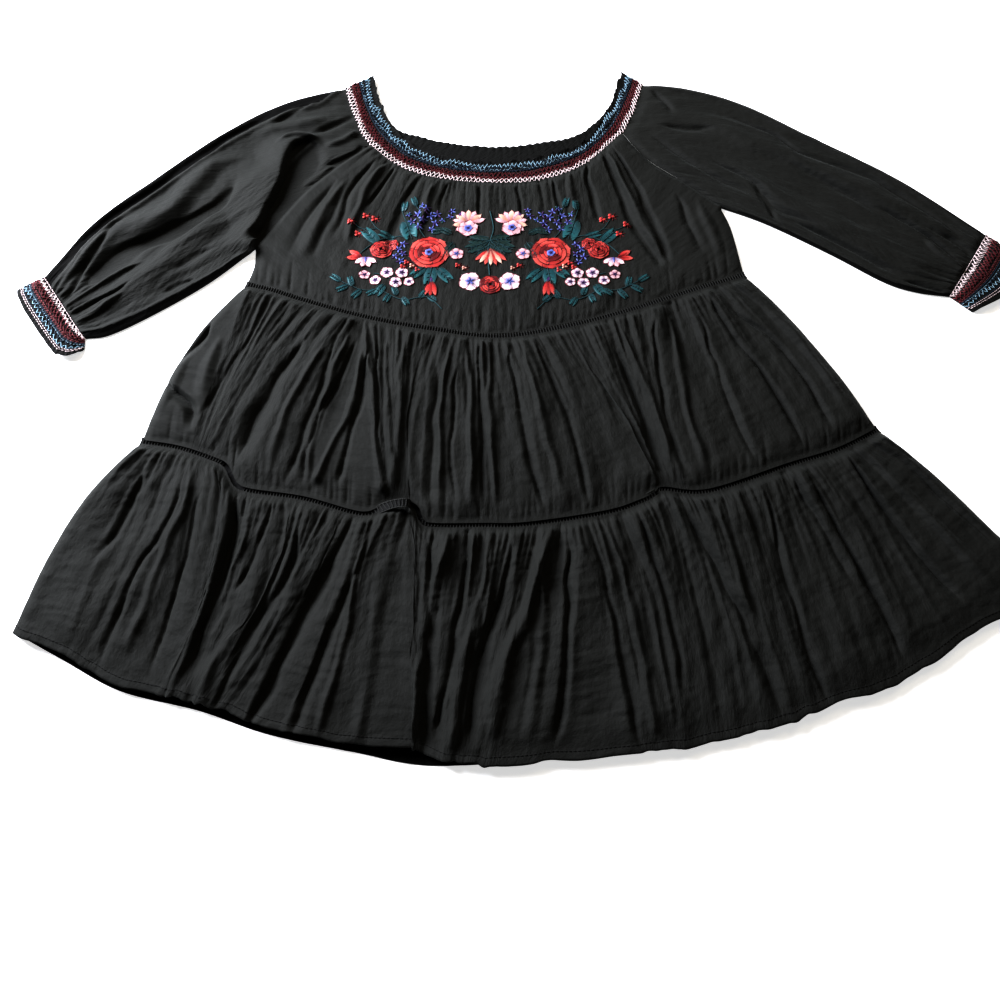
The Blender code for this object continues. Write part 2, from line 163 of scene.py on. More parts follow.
# Large folds of the sleeves and the bodice
LARGE_UPPER = [
    (14, 44, 10, 0.4, 0.15, 0.1, [(-200, 728), (-238, 706), (-248, 650), (-257, 604), (-270, 540)]),
    (11, 25, 18, 0, 0.38, 0.12, [(-268, 692), (-300, 692), (-321, 676), (-340, 642), (-360, 606),
        (-388, 584), (-412, 572), (-432, 545), (-444, 515)]),
    (6, 16, 40, 0, 0.2, 0.15, [(-300, 610), (-340, 560), (-384, 510), (-426, 466)]),
    (5, 12, 18, 0, 0.3, 0.3, [(-186, 760), (-230, 745), (-290, 728)]),
    (6, 24, 26, 0, 0.2, 0.12, [(215, 770), (300, 720), (400, 650), (510, 560)]),
    (5, 24, 22, 0, 0.2, 0.15, [(260, 690), (330, 625), (420, 560), (482, 510)]),
    (5, 16, 10, 0.3, 0.2, 0.2, [(-93, 664), (-112, 624), (-124, 573), (-130, 520)]),
    (5, 10, 16, 0, 0.2, 0.2, [(116, 690), (132, 641), (152, 579), (178, 520)]),
]

# Smaller folds of one panel: the height (a hollow where it is negative), the reach on the right
# and the left hand, the shares of the length over which it rises and falls, and its line.
MIDDLE_CREASES = [
    (-5, 12, 16, 0.3, 0.2, [(-182, 446), (-212, 393), (-234, 335), (-246, 280)]),
    (-2, 5, 8, 0.3, 0.3, [(-246, 448), (-262, 408), (-281, 360), (-292, 330)]),
    (-6, 8, 7, 0.25, 0.2, [(-290, 459), (-299, 434), (-316, 410), (-330, 402), (-336, 388)]),
    (-6, 7, 9, 0.2, 0.3, [(-336, 384), (-318, 368), (-300, 350), (-292, 322)]),
    (3, 9, 9, 0.3, 0.3, [(-280, 440), (-286, 410), (-288, 380), (-284, 350)]),
    (3, 7, 7, 0.2, 0.3, [(-164, 440), (-188, 385), (-204, 340), (-216, 262)]),
    (-2.5, 4, 6, 0.2, 0.2, [(-159, 446), (-168, 390), (-186, 312), (-200, 256)]),
    (3.5, 6, 6, 0.15, 0.2, [(-146, 446), (-161, 390), (-173, 328), (-178, 262)]),
    (-3.5, 5, 6, 0.15, 0.1, [(-141, 435), (-155, 382), (-170, 346), (-180, 294), (-182, 262)]),
    (3.5, 5, 7, 0.15, 0.1, [(-132, 425), (-138, 358), (-154, 316), (-171, 256)]),
    (-3.5, 5, 6, 0.15, 0.1, [(-127, 424), (-131, 366), (-138, 322), (-148, 262)]),
    (3, 5, 5, 0.1, 0.05, [(-131, 452), (-121, 369), (-112, 306), (-107, 250)]),
    (-3, 3, 3, 0.15, 0.1, [(-119, 440), (-115, 369), (-109, 306), (-103, 262)]),
    (2.5, 4, 4, 0.1, 0.1, [(-109, 436), (-106, 370), (-103, 312), (-97, 262)]),
    (2.5, 5, 5, 0.2, 0.2, [(-90, 438), (-95, 340), (-98, 270)]),
    (-3, 12, 14, 0.3, 0.1, [(-56, 430), (-58, 340), (-60, 240)]),
    (4, 6, 5, 0.2, 0.2, [(-44, 434), (-52, 352), (-50, 245)]),
    (-2.5, 4, 4, 0.2, 0.2, [(-36, 400), (-40, 312), (-34, 240)]),
    (3.5, 6, 6, 0.15, 0.15, [(-26, 430), (-22, 340), (-19, 236)]),
    (-3, 4, 5, 0.1, 0.1, [(-15, 432), (-12, 340), (-8, 240)]),
    (3, 5, 5, 0.15, 0.15, [(-5, 432), (-3, 352), (4, 240)]),
    (-3.5, 5, 8, 0.15, 0.1, [(16, 430), (26, 341), (48, 236)]),
    (3, 6, 6, 0.2, 0.2, [(30, 430), (46, 345), (66, 250)]),
    (-3, 4, 6, 0.1, 0.1, [(42, 432), (76, 328), (92, 238)]),
    (-4, 8, 16, 0.4, 0.1, [(112, 450), (142, 361), (164, 262)]),
    (3, 5, 5, 0.2, 0.2, [(128, 456), (156, 361), (176, 268)]),
    (-3, 5, 5, 0.1, 0.2, [(166, 462), (171, 341), (186, 268)]),
    (3, 6, 6, 0.2, 0.2, [(182, 470), (190, 361), (204, 268)]),
    (-3.5, 5, 7, 0.1, 0.2, [(226, 490), (248, 430), (272, 388), (303, 296)]),
    (-2.5, 5, 6, 0.2, 0.2, [(212, 470), (238, 341), (256, 278)]),
    (-3, 6, 7, 0.2, 0.2, [(242, 476), (288, 430), (318, 371), (333, 312)]),
    (2.5, 8, 8, 0.3, 0.3, [(268, 490), (314, 430), (345, 360), (356, 326)]),
    (2, 10, 10, 0.4, 0.4, [(-308, 420), (-318, 385), (-330, 340)]),
]
LOWER_CREASES = [
    (-4, 8, 8, 0.2, 0.3, [(-330, 285), (-337, 255), (-349, 209), (-362, 180)]),
    (-3, 5, 6, 0.15, 0.2, [(-293, 275), (-298, 234), (-321, 174), (-333, 123), (-342, 74)]),
    (3, 6, 6, 0.15, 0.2, [(-284, 285), (-288, 234), (-304, 174), (-318, 90)]),
    (-2.5, 4, 5, 0.15, 0.2, [(-274, 262), (-280, 186), (-290, 118), (-296, 70)]),
    (-6, 6, 20, 0.2, 0.2, [(-244, 258), (-240, 215), (-246, 162), (-256, 112), (-268, 60)]),
    (3, 6, 6, 0.2, 0.2, [(-222, 250), (-228, 200), (-242, 151), (-258, 101)]),
    (-3, 5, 5, 0.2, 0.2, [(-205, 250), (-214, 200), (-230, 150)]),
    (4, 10, 8, 0.3, 0.2, [(-236, 104), (-244, 80), (-246, 46)]),
    (-4, 8, 10, 0.2, 0.1, [(-176, 240), (-186, 168), (-214, 110), (-236, 44)]),
    (-5, 8, 9, 0.25, 0.1, [(-132, 222), (-160, 151), (-180, 96), (-206, 26)]),
    (3, 5, 5, 0.15, 0.1, [(-112, 220), (-124, 160), (-130, 100), (-146, 20)]),
    (-4, 8, 10, 0.3, 0.1, [(-116, 200), (-138, 130), (-152, 80), (-170, 20)]),
    (2, 10, 10, 0.3, 0.1, [(-94, 200), (-104, 120), (-112, 14)]),
    (-5, 8, 18, 0.2, 0, [(-58, 222), (-56, 150), (-56, 80), (-56, 8)]),
    (4, 7, 7, 0.15, 0.1, [(-40, 222), (-53, 147), (-62, 84), (-66, 20)]),
    (-4, 6, 6, 0.15, 0.1, [(-20, 216), (-27, 159), (-36, 91), (-47, 20)]),
    (3, 6, 6, 0.15, 0.1, [(-2, 216), (-10, 150), (-26, 84), (-34, 14)]),
    (-5, 7, 12, 0.2, 0.1, [(20, 216), (6, 147), (-14, 84), (-18, 14)]),
    (4.5, 8, 9, 0.15, 0.1, [(50, 220), (34, 147), (10, 91), (-4, 20)]),
    (-4, 6, 7, 0.15, 0.1, [(71, 214), (66, 128), (64, 77), (52, 16)]),
    (3, 7, 7, 0.2, 0.15, [(36, 214), (46, 140), (38, 80), (28, 14)]),
    (-3.5, 5, 6, 0.15, 0.1, [(91, 222), (109, 128), (117, 56), (124, 10)]),
    (3.5, 6, 6, 0.15, 0.1, [(104, 228), (124, 140), (132, 70), (136, 16)]),
    (-3, 5, 6, 0.15, 0.2, [(136, 238), (158, 130), (163, 50)]),
    (-4, 8, 12, 0.2, 0.1, [(176, 246), (198, 190), (226, 110), (246, 40)]),
    (3, 5, 5, 0.15, 0.2, [(208, 252), (222, 167), (232, 120)]),
    (-3.5, 5, 7, 0.15, 0.1, [(254, 264), (266, 167), (274, 91), (288, 48)]),
    (-3, 5, 6, 0.15, 0.2, [(282, 276), (312, 195), (326, 160)]),
    (-3.5, 6, 8, 0.15, 0.15, [(298, 280), (328, 190), (350, 121), (360, 84)]),
    (-3.5, 6, 8, 0.15, 0.15, [(336, 298), (378, 207), (420, 140)]),
    (-2.5, 6, 8, 0.3, 0.3, [(376, 308), (430, 240), (468, 190)]),
    (3, 8, 8, 0.15, 0.2, [(356, 305), (404, 230), (448, 160)]),
]
BODICE_CREASES = [
    (-3, 6, 9, 0.2, 0.4, [(-132, 694), (-159, 646), (-171, 593), (-182, 560)]),
    (3.5, 7, 7, 0.15, 0.2, [(-122, 684), (-142, 644), (-154, 600), (-162, 560)]),
    (-3.5, 5, 6, 0.15, 0.2, [(-112, 678), (-127, 644), (-144, 612)]),
    (-4, 8, 11, 0.15, 0.25, [(-84, 664), (-100, 624), (-113, 573), (-119, 530)]),
    (-2.5, 9, 9, 0.3, 0.4, [(-178, 660), (-212, 585), (-224, 533)]),
    (3, 9, 9, 0.25, 0.2, [(-165, 660), (-196, 590), (-208, 533)]),
    (-2, 7, 8, 0.3, 0.4, [(-166, 646), (-189, 573), (-197, 533)]),
    (3, 8, 8, 0.2, 0.3, [(-66, 656), (-78, 610), (-84, 560)]),
    (-2.5, 4, 5, 0.15, 0.4, [(-52, 652), (-60, 620), (-62, 600)]),
    (-2.5, 4, 5, 0.15, 0.4, [(-16, 648), (-18, 615), (-18, 590)]),
    (-2.5, 4, 5, 0.15, 0.4, [(26, 648), (30, 615), (28, 590)]),
    (-3, 5, 6, 0.15, 0.3, [(66, 656), (72, 615), (76, 585)]),
    (3, 7, 7, 0.15, 0.3, [(84, 668), (88, 620), (94, 580)]),
    (-4, 5, 6, 0.15, 0.25, [(107, 684), (108, 641), (120, 585)]),
    (-5, 6, 9, 0.1, 0.1, [(123, 700), (139, 641), (157, 579), (182, 525)]),
    (-4, 5, 7, 0.15, 0.15, [(137, 706), (157, 657), (174, 597), (192, 528)]),
    (3, 6, 6, 0.15, 0.2, [(130, 704), (148, 650), (166, 590), (186, 535)]),
    (-3, 7, 7, 0.3, 0.3, [(176, 692), (190, 674), (214, 655)]),
    (-2.5, 8, 8, 0.3, 0.3, [(206, 640), (216, 590), (228, 540)]),
    (2.5, 8, 8, 0.3, 0.3, [(228, 630), (240, 580), (248, 540)]),
]
SLEEVE_LEFT_CREASES = [
    (-5, 11, 9, 0.2, 0.1, [(-256, 768), (-316, 718), (-378, 650), (-434, 586), (-472, 526)]),
    (-12, 17, 14, 0.3, 0.1, [(-289, 664), (-301, 629), (-324, 601), (-351, 576), (-385, 556),
        (-414, 528), (-436, 500)]),
    (-11, 10, 40, 0.2, 0.1, [(-206, 718), (-228, 672), (-250, 616), (-268, 560)]),
    (5, 7, 7, 0.3, 0.3, [(-258, 708), (-238, 722), (-214, 724), (-198, 712)]),
    (-5, 6, 7, 0.1, 0.4, [(-152, 712), (-162, 696), (-178, 686), (-200, 678)]),
    (-3, 7, 7, 0.3, 0.3, [(-214, 782), (-238, 764), (-262, 742)]),
    (-5, 6, 7, 0.1, 0.4, [(-164, 762), (-180, 748), (-196, 738), (-216, 727)]),
    (3.5, 7, 7, 0.2, 0.3, [(-158, 738), (-174, 721), (-198, 706)]),
    (2.5, 7, 7, 0.3, 0.3, [(-196, 790), (-232, 770), (-270, 742)]),
    (-3, 5, 5, 0.3, 0, [(-398, 606), (-420, 578), (-448, 500)]),
    (-3, 5, 5, 0.3, 0, [(-380, 512), (-408, 488), (-440, 466)]),
    (3, 6, 6, 0.3, 0, [(-408, 596), (-434, 558), (-458, 506)]),
    (3, 6, 6, 0.3, 0, [(-376, 540), (-406, 518), (-444, 482)]),
    (2.5, 5, 5, 0.3, 0, [(-384, 496), (-410, 474), (-436, 454)]),
    (-2.5, 8, 8, 0.3, 0.3, [(-318, 515), (-336, 505), (-352, 492)]),
    (-2, 8, 8, 0.3, 0.3, [(-300, 560), (-326, 540), (-350, 520)]),
]
SLEEVE_RIGHT_CREASES = [
    (-2.5, 5, 7, 0.3, 0.3, [(320, 604), (384, 556), (440, 510)]),
    (-3, 5, 7, 0.3, 0.2, [(422, 619), (479, 568), (506, 530)]),
    (-2.5, 6, 8, 0.3, 0.3, [(176, 733), (237, 672), (300, 626)]),
    (-3.5, 6, 7, 0.2, 0.2, [(270, 762), (326, 729), (358, 695), (421, 665), (488, 601), (523, 547)]),
    (-3, 8, 9, 0.3, 0.3, [(241, 695), (292, 653), (311, 616), (374, 577)]),
    (-3, 5, 6, 0.3, 0.3, [(304, 640), (309, 604), (316, 590)]),
    (-2.2, 6, 8, 0.4, 0.3, [(490, 580), (510, 556), (524, 536)]),
    (-3, 5, 6, 0.3, 0.2, [(436, 512), (460, 500), (484, 494)]),
    (-3, 7, 7, 0.3, 0.3, [(187, 806), (204, 783), (214, 760)]),
    (-2.5, 8, 8, 0.3, 0.3, [(190, 744), (226, 738), (262, 740)]),
    (-2.5, 9, 9, 0.3, 0.3, [(330, 690), (380, 650), (440, 600)]),
    (2.5, 6, 6, 0.2, 0.1, [(470, 570), (492, 540), (508, 520)]),
]

# Where a fold that starts at the seam above lies halfway down and at the seam below: x of each
MIDDLE_WAYS = [
    (-264, -318, -343), (-258, -276, -292), (-192, -238, -272), (-160, -200, -222), (-142, -168, -182),
    (-131, -117, -106), (-90, -93, -96), (-60, -80, -82), (-44, -55, -54), (-24, -20, -16), (-6, -3, 4),
    (42, 76, 94), (80, 118, 158), (140, 152, 172), (166, 172, 186), (224, 268, 306), (244, 296, 336),
    (270, 345, 378),
]
LOWER_WAYS = [
    (-343, -402, -423), (-315, -345, -370), (-292, -310, -342), (-266, -262, -290), (-226, -240, -262),
    (-189, -206, -248), (-143, -178, -222), (-112, -130, -146), (-80, -76, -74), (-42, -55, -62),
    (-20, -30, -42), (20, 2, -18), (52, 28, 6), (72, 67, 56), (92, 112, 124), (138, 160, 166),
    (208, 226, 240), (256, 270, 290), (299, 335, 352), (338, 380, 430), (378, 471, 514),
]
BODICE_WAYS = [
    (-145, -238, -264), (-138, -196, -222), (-130, -168, -192), (-112, -140, -158), (-84, -108, -122),
    (-40, -48, -56), (0, 0, 4), (50, 56, 62), (108, 112, 126), (124, 152, 184), (137, 170, 202),
    (151, 250, 270),
]


def catmull(points, per_span=24):
    """A close row of points on a smooth line through the given ones."""
    p = np.array(points, float)
    p = np.vstack([2 * p[0] - p[1], p, 2 * p[-1] - p[-2]])
    t = np.linspace(0, 1, per_span, endpoint=False)[:, None]
    spans = []
    for a, b, c, d in zip(p, p[1:], p[2:], p[3:]):
        bend = (2 * a - 5 * b + 4 * c - d) * t**2
        twist = (3 * b - a - 3 * c + d) * t**3
        spans.append(0.5 * (2 * b + (c - a) * t + bend + twist))
    return np.vstack(spans + [p[-2][None]])


def walked(points):
    """The distance from the start of a row of points to each of them."""
    return np.concatenate([[0], np.cumsum(np.linalg.norm(np.diff(points, axis=0), axis=1))])


def even(points, steps):
    """Points at even steps along a close row of points, ends included."""
    reach = walked(points)
    at = np.linspace(0, reach[-1], steps + 1)
    return np.stack([np.interp(at, reach, points[:, k]) for k in range(points.shape[1])], axis=1)


def line(points, steps):
    """The same along the smooth line through a few points."""
    return even(catmull(points), steps)


def joined(*lines):
    return np.vstack([lines[0]] + [part[1:] for part in lines[1:]])


def beside(points, distance):
    """The line moved sideways, to its left for a positive distance."""
    along = np.gradient(points, axis=0)
    along /= np.linalg.norm(along, axis=1)[:, None]
    return points + distance * np.stack([-along[:, 1], along[:, 0]], axis=1)


def patch(bottom, top, left, right):
    """Plan points between four lines, in rows from the bottom to the top."""
    u = np.linspace(0, 1, len(bottom))[None, :, None]
    v = np.linspace(0, 1, len(left))[:, None, None]
    across = (1 - v) * bottom[None] + v * top[None]
    along = (1 - u) * left[:, None] + u * right[:, None]
    corners = (1 - u) * (1 - v) * bottom[0] + u * (1 - v) * bottom[-1]
    corners = corners + (1 - u) * v * top[0] + u * v * top[-1]
    return across + along - corners


def ease(t):
    """0 to 1 with soft ends."""
    t = np.clip(t, 0, 1)
    return t * t * (3 - 2 * t)


def round_edge(distance, radius):
    """A quarter circle's rise over the radius, 1 beyond it."""
    t = np.clip(distance / radius, 0, 1)
    return np.sqrt(1 - (1 - t) ** 2)


def noise(across, along, cell_across, cell_along, seed):
    """Smooth random heights from -1 to 1, with one value for each cell."""
    table = np.random.default_rng(seed).uniform(-1, 1, (257, 257))
    a = across / cell_across + 1000.0
    b = along / cell_along + 1000.0
    a0 = np.floor(a)
    b0 = np.floor(b)
    fa = ease(a - a0)
    fb = ease(b - b0)
    i = a0.astype(int) % 257
    j = b0.astype(int) % 257
    i1 = (i + 1) % 257
    j1 = (j + 1) % 257
    low = table[i, j] * (1 - fa) + table[i1, j] * fa
    high = table[i, j1] * (1 - fa) + table[i1, j1] * fa
    return low * (1 - fb) + high * fb


def billows(across, along, cell_across, cell_along, seed):
    """Round ridges with narrow hollows between them, from 0 to 1."""
    wander = 0.35 * cell_across * noise(across, along, cell_across * 3, cell_along * 0.6, seed + 1)
    value = noise(across + wander, along, cell_across, cell_along, seed)
    return np.sqrt(value * value + 0.004) - 0.06


def crests(across, along, cell_across, cell_along, seed):
    """Sharp ridges with broad hollows between them, from 0 to 1."""
    wander = 0.5 * cell_across * noise(across, along, cell_across * 3, cell_along * 0.5, seed + 1)
    value = noise(across + wander, along, cell_across, cell_along, seed)
    return 1 - np.sqrt(value * value + 0.002)


def fold(x, y, points, right, left, rise, fall, spread=0.55):
    """Where points lie on a fold: the share of its full height, and the share of its width."""
    dense = catmull(points, 8)
    start = dense[0]
    way = dense[-1] - start
    length = np.linalg.norm(way)
    way = way / length
    along_line = (dense - start) @ way
    off_line = (dense - start) @ np.array((way[1], -way[0]))
    along = (x - start[0]) * way[0] + (y - start[1]) * way[1]
    off = (x - start[0]) * way[1] - (y - start[1]) * way[0]
    middle = np.interp(along, along_line, off_line)
    slant = np.interp(along, along_line, np.gradient(off_line, along_line))
    seed = int(abs(points[0][0]) + 2 * abs(points[0][1]))
    aside = (off - middle) / np.sqrt(1 + slant**2) + 1.7 * noise(along, 0 * along, 24, 1, seed)
    share = along / length
    wide = np.where(aside > 0, right, left) * (spread + (1 - spread) * ease(share / 0.5))
    wide = wide * (1 + 0.3 * noise(along, 0 * along, 34, 1, seed + 5))
    kept = 1 + 0.2 * noise(along, 0 * along, 40, 1, seed + 9)
    if rise:
        kept = kept * ease(share / rise)
    if fall:
        kept = kept * ease((1 - share) / fall)
    return kept, np.clip(np.abs(aside) / wide, 0, 1)


def large_rise(x, y, rows):
    """The height of the large folds and how far their crests lean."""
    cubes = np.zeros_like(x)
    lean = np.zeros_like(x)
    for high, right, left, leaning, rise, fall, points in rows:
        kept, near = fold(x, y, points, right, left, rise, fall)
        part = high * kept * ease(1 - near)
        cubes += part**3
        lean = np.maximum(lean, leaning * part)
    return np.cbrt(cubes), lean


def opened_folds(q, down, rows, seed):
    """Folds that start as close tucks at a seam and open out away from it."""
    total = np.zeros_like(q)
    for number, (cell, high, run, start, fade) in enumerate(rows):
        part = high * billows(q, down, cell, run, seed + 7 * number)
        part = part * ease((down + 0.35 * start) / start)
        if fade:
            part = part * np.exp(-down / fade)
        total += part
    return total


def small_rise(x, y, rows):
    """The sum of a panel's smaller folds and hollows."""
    height = np.zeros_like(x)
    for high, right, left, rise, fall, points in rows:
        kept, near = fold(x, y, points, right, left, rise, fall)
        shape = ease(1 - near) if high > 0 else 1.25 * (1 - near) ** 1.7
        height += 1.3 * high * kept * shape
    return height


def gather_hollows(across, down, seed, pitch, depth, reach, width):
    """Narrow hollows that start at a gathered seam and run out at their own lengths."""
    rng = random.Random(seed)
    total = np.zeros_like(across)
    at = across.min()
    last = across.max()
    while at < last:
        at += pitch * rng.uniform(0.5, 1.5)
        deep = depth * rng.uniform(0.5, 1.0)
        long = reach * (0.14 + 1.1 * rng.random() ** 2)
        wide = width * rng.uniform(0.7, 1.35)
        drift = rng.uniform(-0.05, 0.05)
        off = (across - at - drift * down) / (wide * (1 + down / 120))
        near = np.abs(off) < 4.5
        part = np.zeros_like(across)
        part[near] = np.exp(-np.abs(off[near]) ** 1.08) * ease(1 - down[near] / long) ** 0.7
        total += deep * part
    return total


def across_seam(x, share, ways):
    """The place along the seam above from which the folds through each point come."""
    table = np.array(ways, float)
    made = np.empty_like(x)
    for r in range(x.shape[0]):
        v = share[r]
        upper = (v - 0.5) * (v - 0) / 0.5
        mid = (1 - v) * v / 0.25
        lower = (0.5 - v) * (1 - v) / 0.5
        places = table[:, 0] * upper + table[:, 1] * mid + table[:, 2] * lower
        places = np.maximum.accumulate(places + np.arange(len(places)) * 1e-3)
        made[r] = np.interp(x[r], places, table[:, 0])
        under = x[r] < places[0]
        over = x[r] > places[-1]
        made[r][under] = table[0, 0] + (x[r][under] - places[0])
        made[r][over] = table[-1, 0] + (x[r][over] - places[-1])
    return made


def steps_along(plan, axis):
    """Distance walked along the rows or columns of a grid of points."""
    gaps = np.linalg.norm(np.diff(plan, axis=axis), axis=-1)
    start = np.zeros_like(np.take(gaps, [0], axis=axis))
    return np.concatenate([start, np.cumsum(gaps, axis=axis)], axis=axis)


def soft_floor(height, lowest, softness=0.6):
    """The height, kept over the lowest without a sharp line."""
    over = height - lowest
    return lowest + 0.5 * (over + np.sqrt(over * over + softness * softness))


class Patches:
    """Grids of points gathered into one mesh."""

    def __init__(self):
        self.points = []
        self.faces = []
        self.maps = []
        self.count = 0

    def add(self, grid, uv, wrap=False):
        rows, columns = grid.shape[:2]
        index = np.arange(rows * columns).reshape(rows, columns) + self.count
        if wrap:
            index = np.concatenate([index, index[:, :1]], axis=1)
            uv = np.concatenate([uv, uv[:, :1] + (1.0, 0.0)], axis=1)
        corners = (slice(None, -1), slice(1, None))
        order = ((0, 0), (0, 1), (1, 1), (1, 0))
        quads = np.stack([index[corners[r], corners[c]] for r, c in order], axis=-1)
        place = np.stack([uv[corners[r], corners[c]] for r, c in order], axis=-2)
        self.points.append(grid.reshape(-1, 3))
        self.faces.append(quads.reshape(-1, 4))
        self.maps.append(place.reshape(-1, 2))
        self.count += rows * columns

    def make(self, name, look):
        points = np.vstack(self.points).copy()
        points[:, 0] -= MIDDLE[0]
        points[:, 1] -= MIDDLE[1]
        points *= MM
        mesh = bpy.data.meshes.new(name)
        mesh.from_pydata(points.tolist(), [], np.vstack(self.faces).tolist())
        layer = mesh.uv_layers.new(name="cloth")
        layer.data.foreach_set("uv", np.vstack(self.maps).ravel())
        mesh.materials.append(look)
        mesh.shade_smooth()
        made = bpy.data.objects.new(name, mesh)
        bpy.context.scene.collection.objects.link(made)
        return made


def own(piece, slot, *nodes):
    """Put a piece on the dress, with the solids that it stands for; its finish is not used."""
    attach(piece, "root")
    if nodes:
        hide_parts(*nodes)
    return piece


def shell(name, points, uv, look, slot, *nodes, wrap=False):
    patches = Patches()
    patches.add(points, uv, wrap)
    return own(patches.make(name, look), slot, *nodes)


def settled(x, y, z, lean=0.0):
    """Points that look from the camera as if they lay at their plan place."""
    return np.stack([x + lean, y - RISE_SHIFT * (z - FRONT_TOP), z], axis=-1)


def on_grid(grid, row, column):
    """Points between those of a grid."""
    row = np.clip(row, 0, grid.shape[0] - 1.001)
    column = np.clip(column, 0, grid.shape[1] - 1.001)
    r = row.astype(int)
    c = column.astype(int)
    fr = (row - r)[..., None]
    fc = (column - c)[..., None]
    low = grid[r, c] * (1 - fc) + grid[r, c + 1] * fc
    high = grid[r + 1, c] * (1 - fc) + grid[r + 1, c + 1] * fc
    return low * (1 - fr) + high * fr


def tube(path, radius, sides=6, flat=1.0):
    """A thread along a path: its grid of points and its map."""
    path = np.asarray(path, float)
    along = np.gradient(path, axis=0)
    along /= np.maximum(np.linalg.norm(along, axis=1)[:, None], 1e-9)
    side = np.cross(along, (0.0, 0.0, 1.0))
    side /= np.maximum(np.linalg.norm(side, axis=1)[:, None], 1e-9)
    up = np.cross(side, along)
    angle = np.linspace(0, 2 * math.pi, sides, endpoint=False)
    ring = radius * np.cos(angle)[None, :, None] * side[:, None]
    ring = ring + radius * flat * np.sin(angle)[None, :, None] * up[:, None]
    reach = walked(path)
    around = np.linspace(0, 1, sides, endpoint=False)
    uv = np.stack(np.broadcast_arrays(around[None, :], reach[:, None] / THREAD_TWIST), axis=-1)
    return path[:, None] + ring, uv


# Materials


def new_material(name):
    made = bpy.data.materials.new(name)
    made.use_nodes = True
    tree = made.node_tree
    return made, tree, tree.nodes["Principled BSDF"]


def add_node(tree, kind, **values):
    node = tree.nodes.new(kind)
    for key, value in values.items():
        if key in node.inputs:
            node.inputs[key].default_value = value
        else:
            setattr(node, key, value)
    return node


def maths(tree, operation, first, second=None):
    node = tree.nodes.new("ShaderNodeMath")
    node.operation = operation
    for socket, value in zip(node.inputs, (first, second)):
        if value is None:
            continue
        if isinstance(value, (int, float)):
            socket.default_value = value
        else:
            tree.links.new(value, socket)
    return node.outputs[0]


def mixed(tree, share, first, second):
    """A colour between two, by a share from a node."""
    node = tree.nodes.new("ShaderNodeMix")
    node.data_type = "RGBA"
    tree.links.new(share, node.inputs["Factor"])
    for socket, value in ((node.inputs[6], first), (node.inputs[7], second)):
        if isinstance(value, tuple):
            socket.default_value = (*value, 1.0)
        else:
            tree.links.new(value, socket)
    return node.outputs[2]


def noise_node(tree, vector, scale, detail=2.0, roughness=0.5):
    node = add_node(tree, "ShaderNodeTexNoise", Scale=scale, Detail=detail, Roughness=roughness)
    tree.links.new(vector, node.inputs["Vector"])
    return node.outputs["Fac"]


def bumped(tree, height, distance, strength, normal=None):
    node = add_node(tree, "ShaderNodeBump", Strength=strength, Distance=distance)
    tree.links.new(height, node.inputs["Height"])
    if normal is not None:
        tree.links.new(normal, node.inputs["Normal"])
    return node.outputs["Normal"]


def stretched(tree, vector, x, y, z):
    node = tree.nodes.new("ShaderNodeMapping")
    node.inputs["Scale"].default_value = (x, y, z)
    tree.links.new(vector, node.inputs["Vector"])
    return node.outputs["Vector"]


def woven(name, light, dark, roughness=0.78, sheen=0.08, thread=0.45, crinkle=1.1, specular=0.3):
    """Woven cloth: threads, slubs and fine crinkles, all in the cloth's own map."""
    made, tree, shader = new_material(name)
    where = add_node(tree, "ShaderNodeTexCoord")
    uv = where.outputs["UV"]
    parts = tree.nodes.new("ShaderNodeSeparateXYZ")
    tree.links.new(uv, parts.inputs[0])
    turn = 2 * math.pi / (thread * MM)
    warp = maths(tree, "SINE", maths(tree, "MULTIPLY", parts.outputs[0], turn))
    weft = maths(tree, "SINE", maths(tree, "MULTIPLY", parts.outputs[1], turn))
    weave = maths(tree, "MULTIPLY", warp, weft)
    slub = noise_node(tree, stretched(tree, uv, 1.0, 0.12, 1.0), 1500.0, 2.0)
    creased = noise_node(tree, stretched(tree, uv, 1.0, 0.35, 1.0), 190.0, 4.0, 0.6)
    broad = noise_node(tree, where.outputs["Object"], 14.0, 3.0)
    normal = bumped(tree, weave, 0.00004, 0.5)
    normal = bumped(tree, slub, 0.00012, 0.5, normal)
    fine = noise_node(tree, stretched(tree, uv, 1.0, 0.6, 1.0), 460.0, 3.0, 0.6)
    normal = bumped(tree, fine, 0.0005 * crinkle, 0.8, normal)
    normal = bumped(tree, creased, 0.0011 * crinkle, 0.9, normal)
    tree.links.new(normal, shader.inputs["Normal"])
    tone = mixed(tree, broad, dark, light)
    # The colour is lighter where the crinkles rise and darker in their hollows: painted shade
    painted_crinkle_shade = maths(tree, "MULTIPLY", creased, 0.6)
    tree.links.new(mixed(tree, painted_crinkle_shade, tone, light), shader.inputs["Base Color"])
    rough = maths(tree, "ADD", maths(tree, "MULTIPLY", slub, 0.12), roughness - 0.06)
    tree.links.new(rough, shader.inputs["Roughness"])
    shader.inputs["Specular IOR Level"].default_value = specular
    shader.inputs["Sheen Weight"].default_value = sheen
    shader.inputs["Sheen Roughness"].default_value = 0.45
    shader.inputs["Sheen Tint"].default_value = (0.85, 0.92, 0.88, 1.0)
    return made


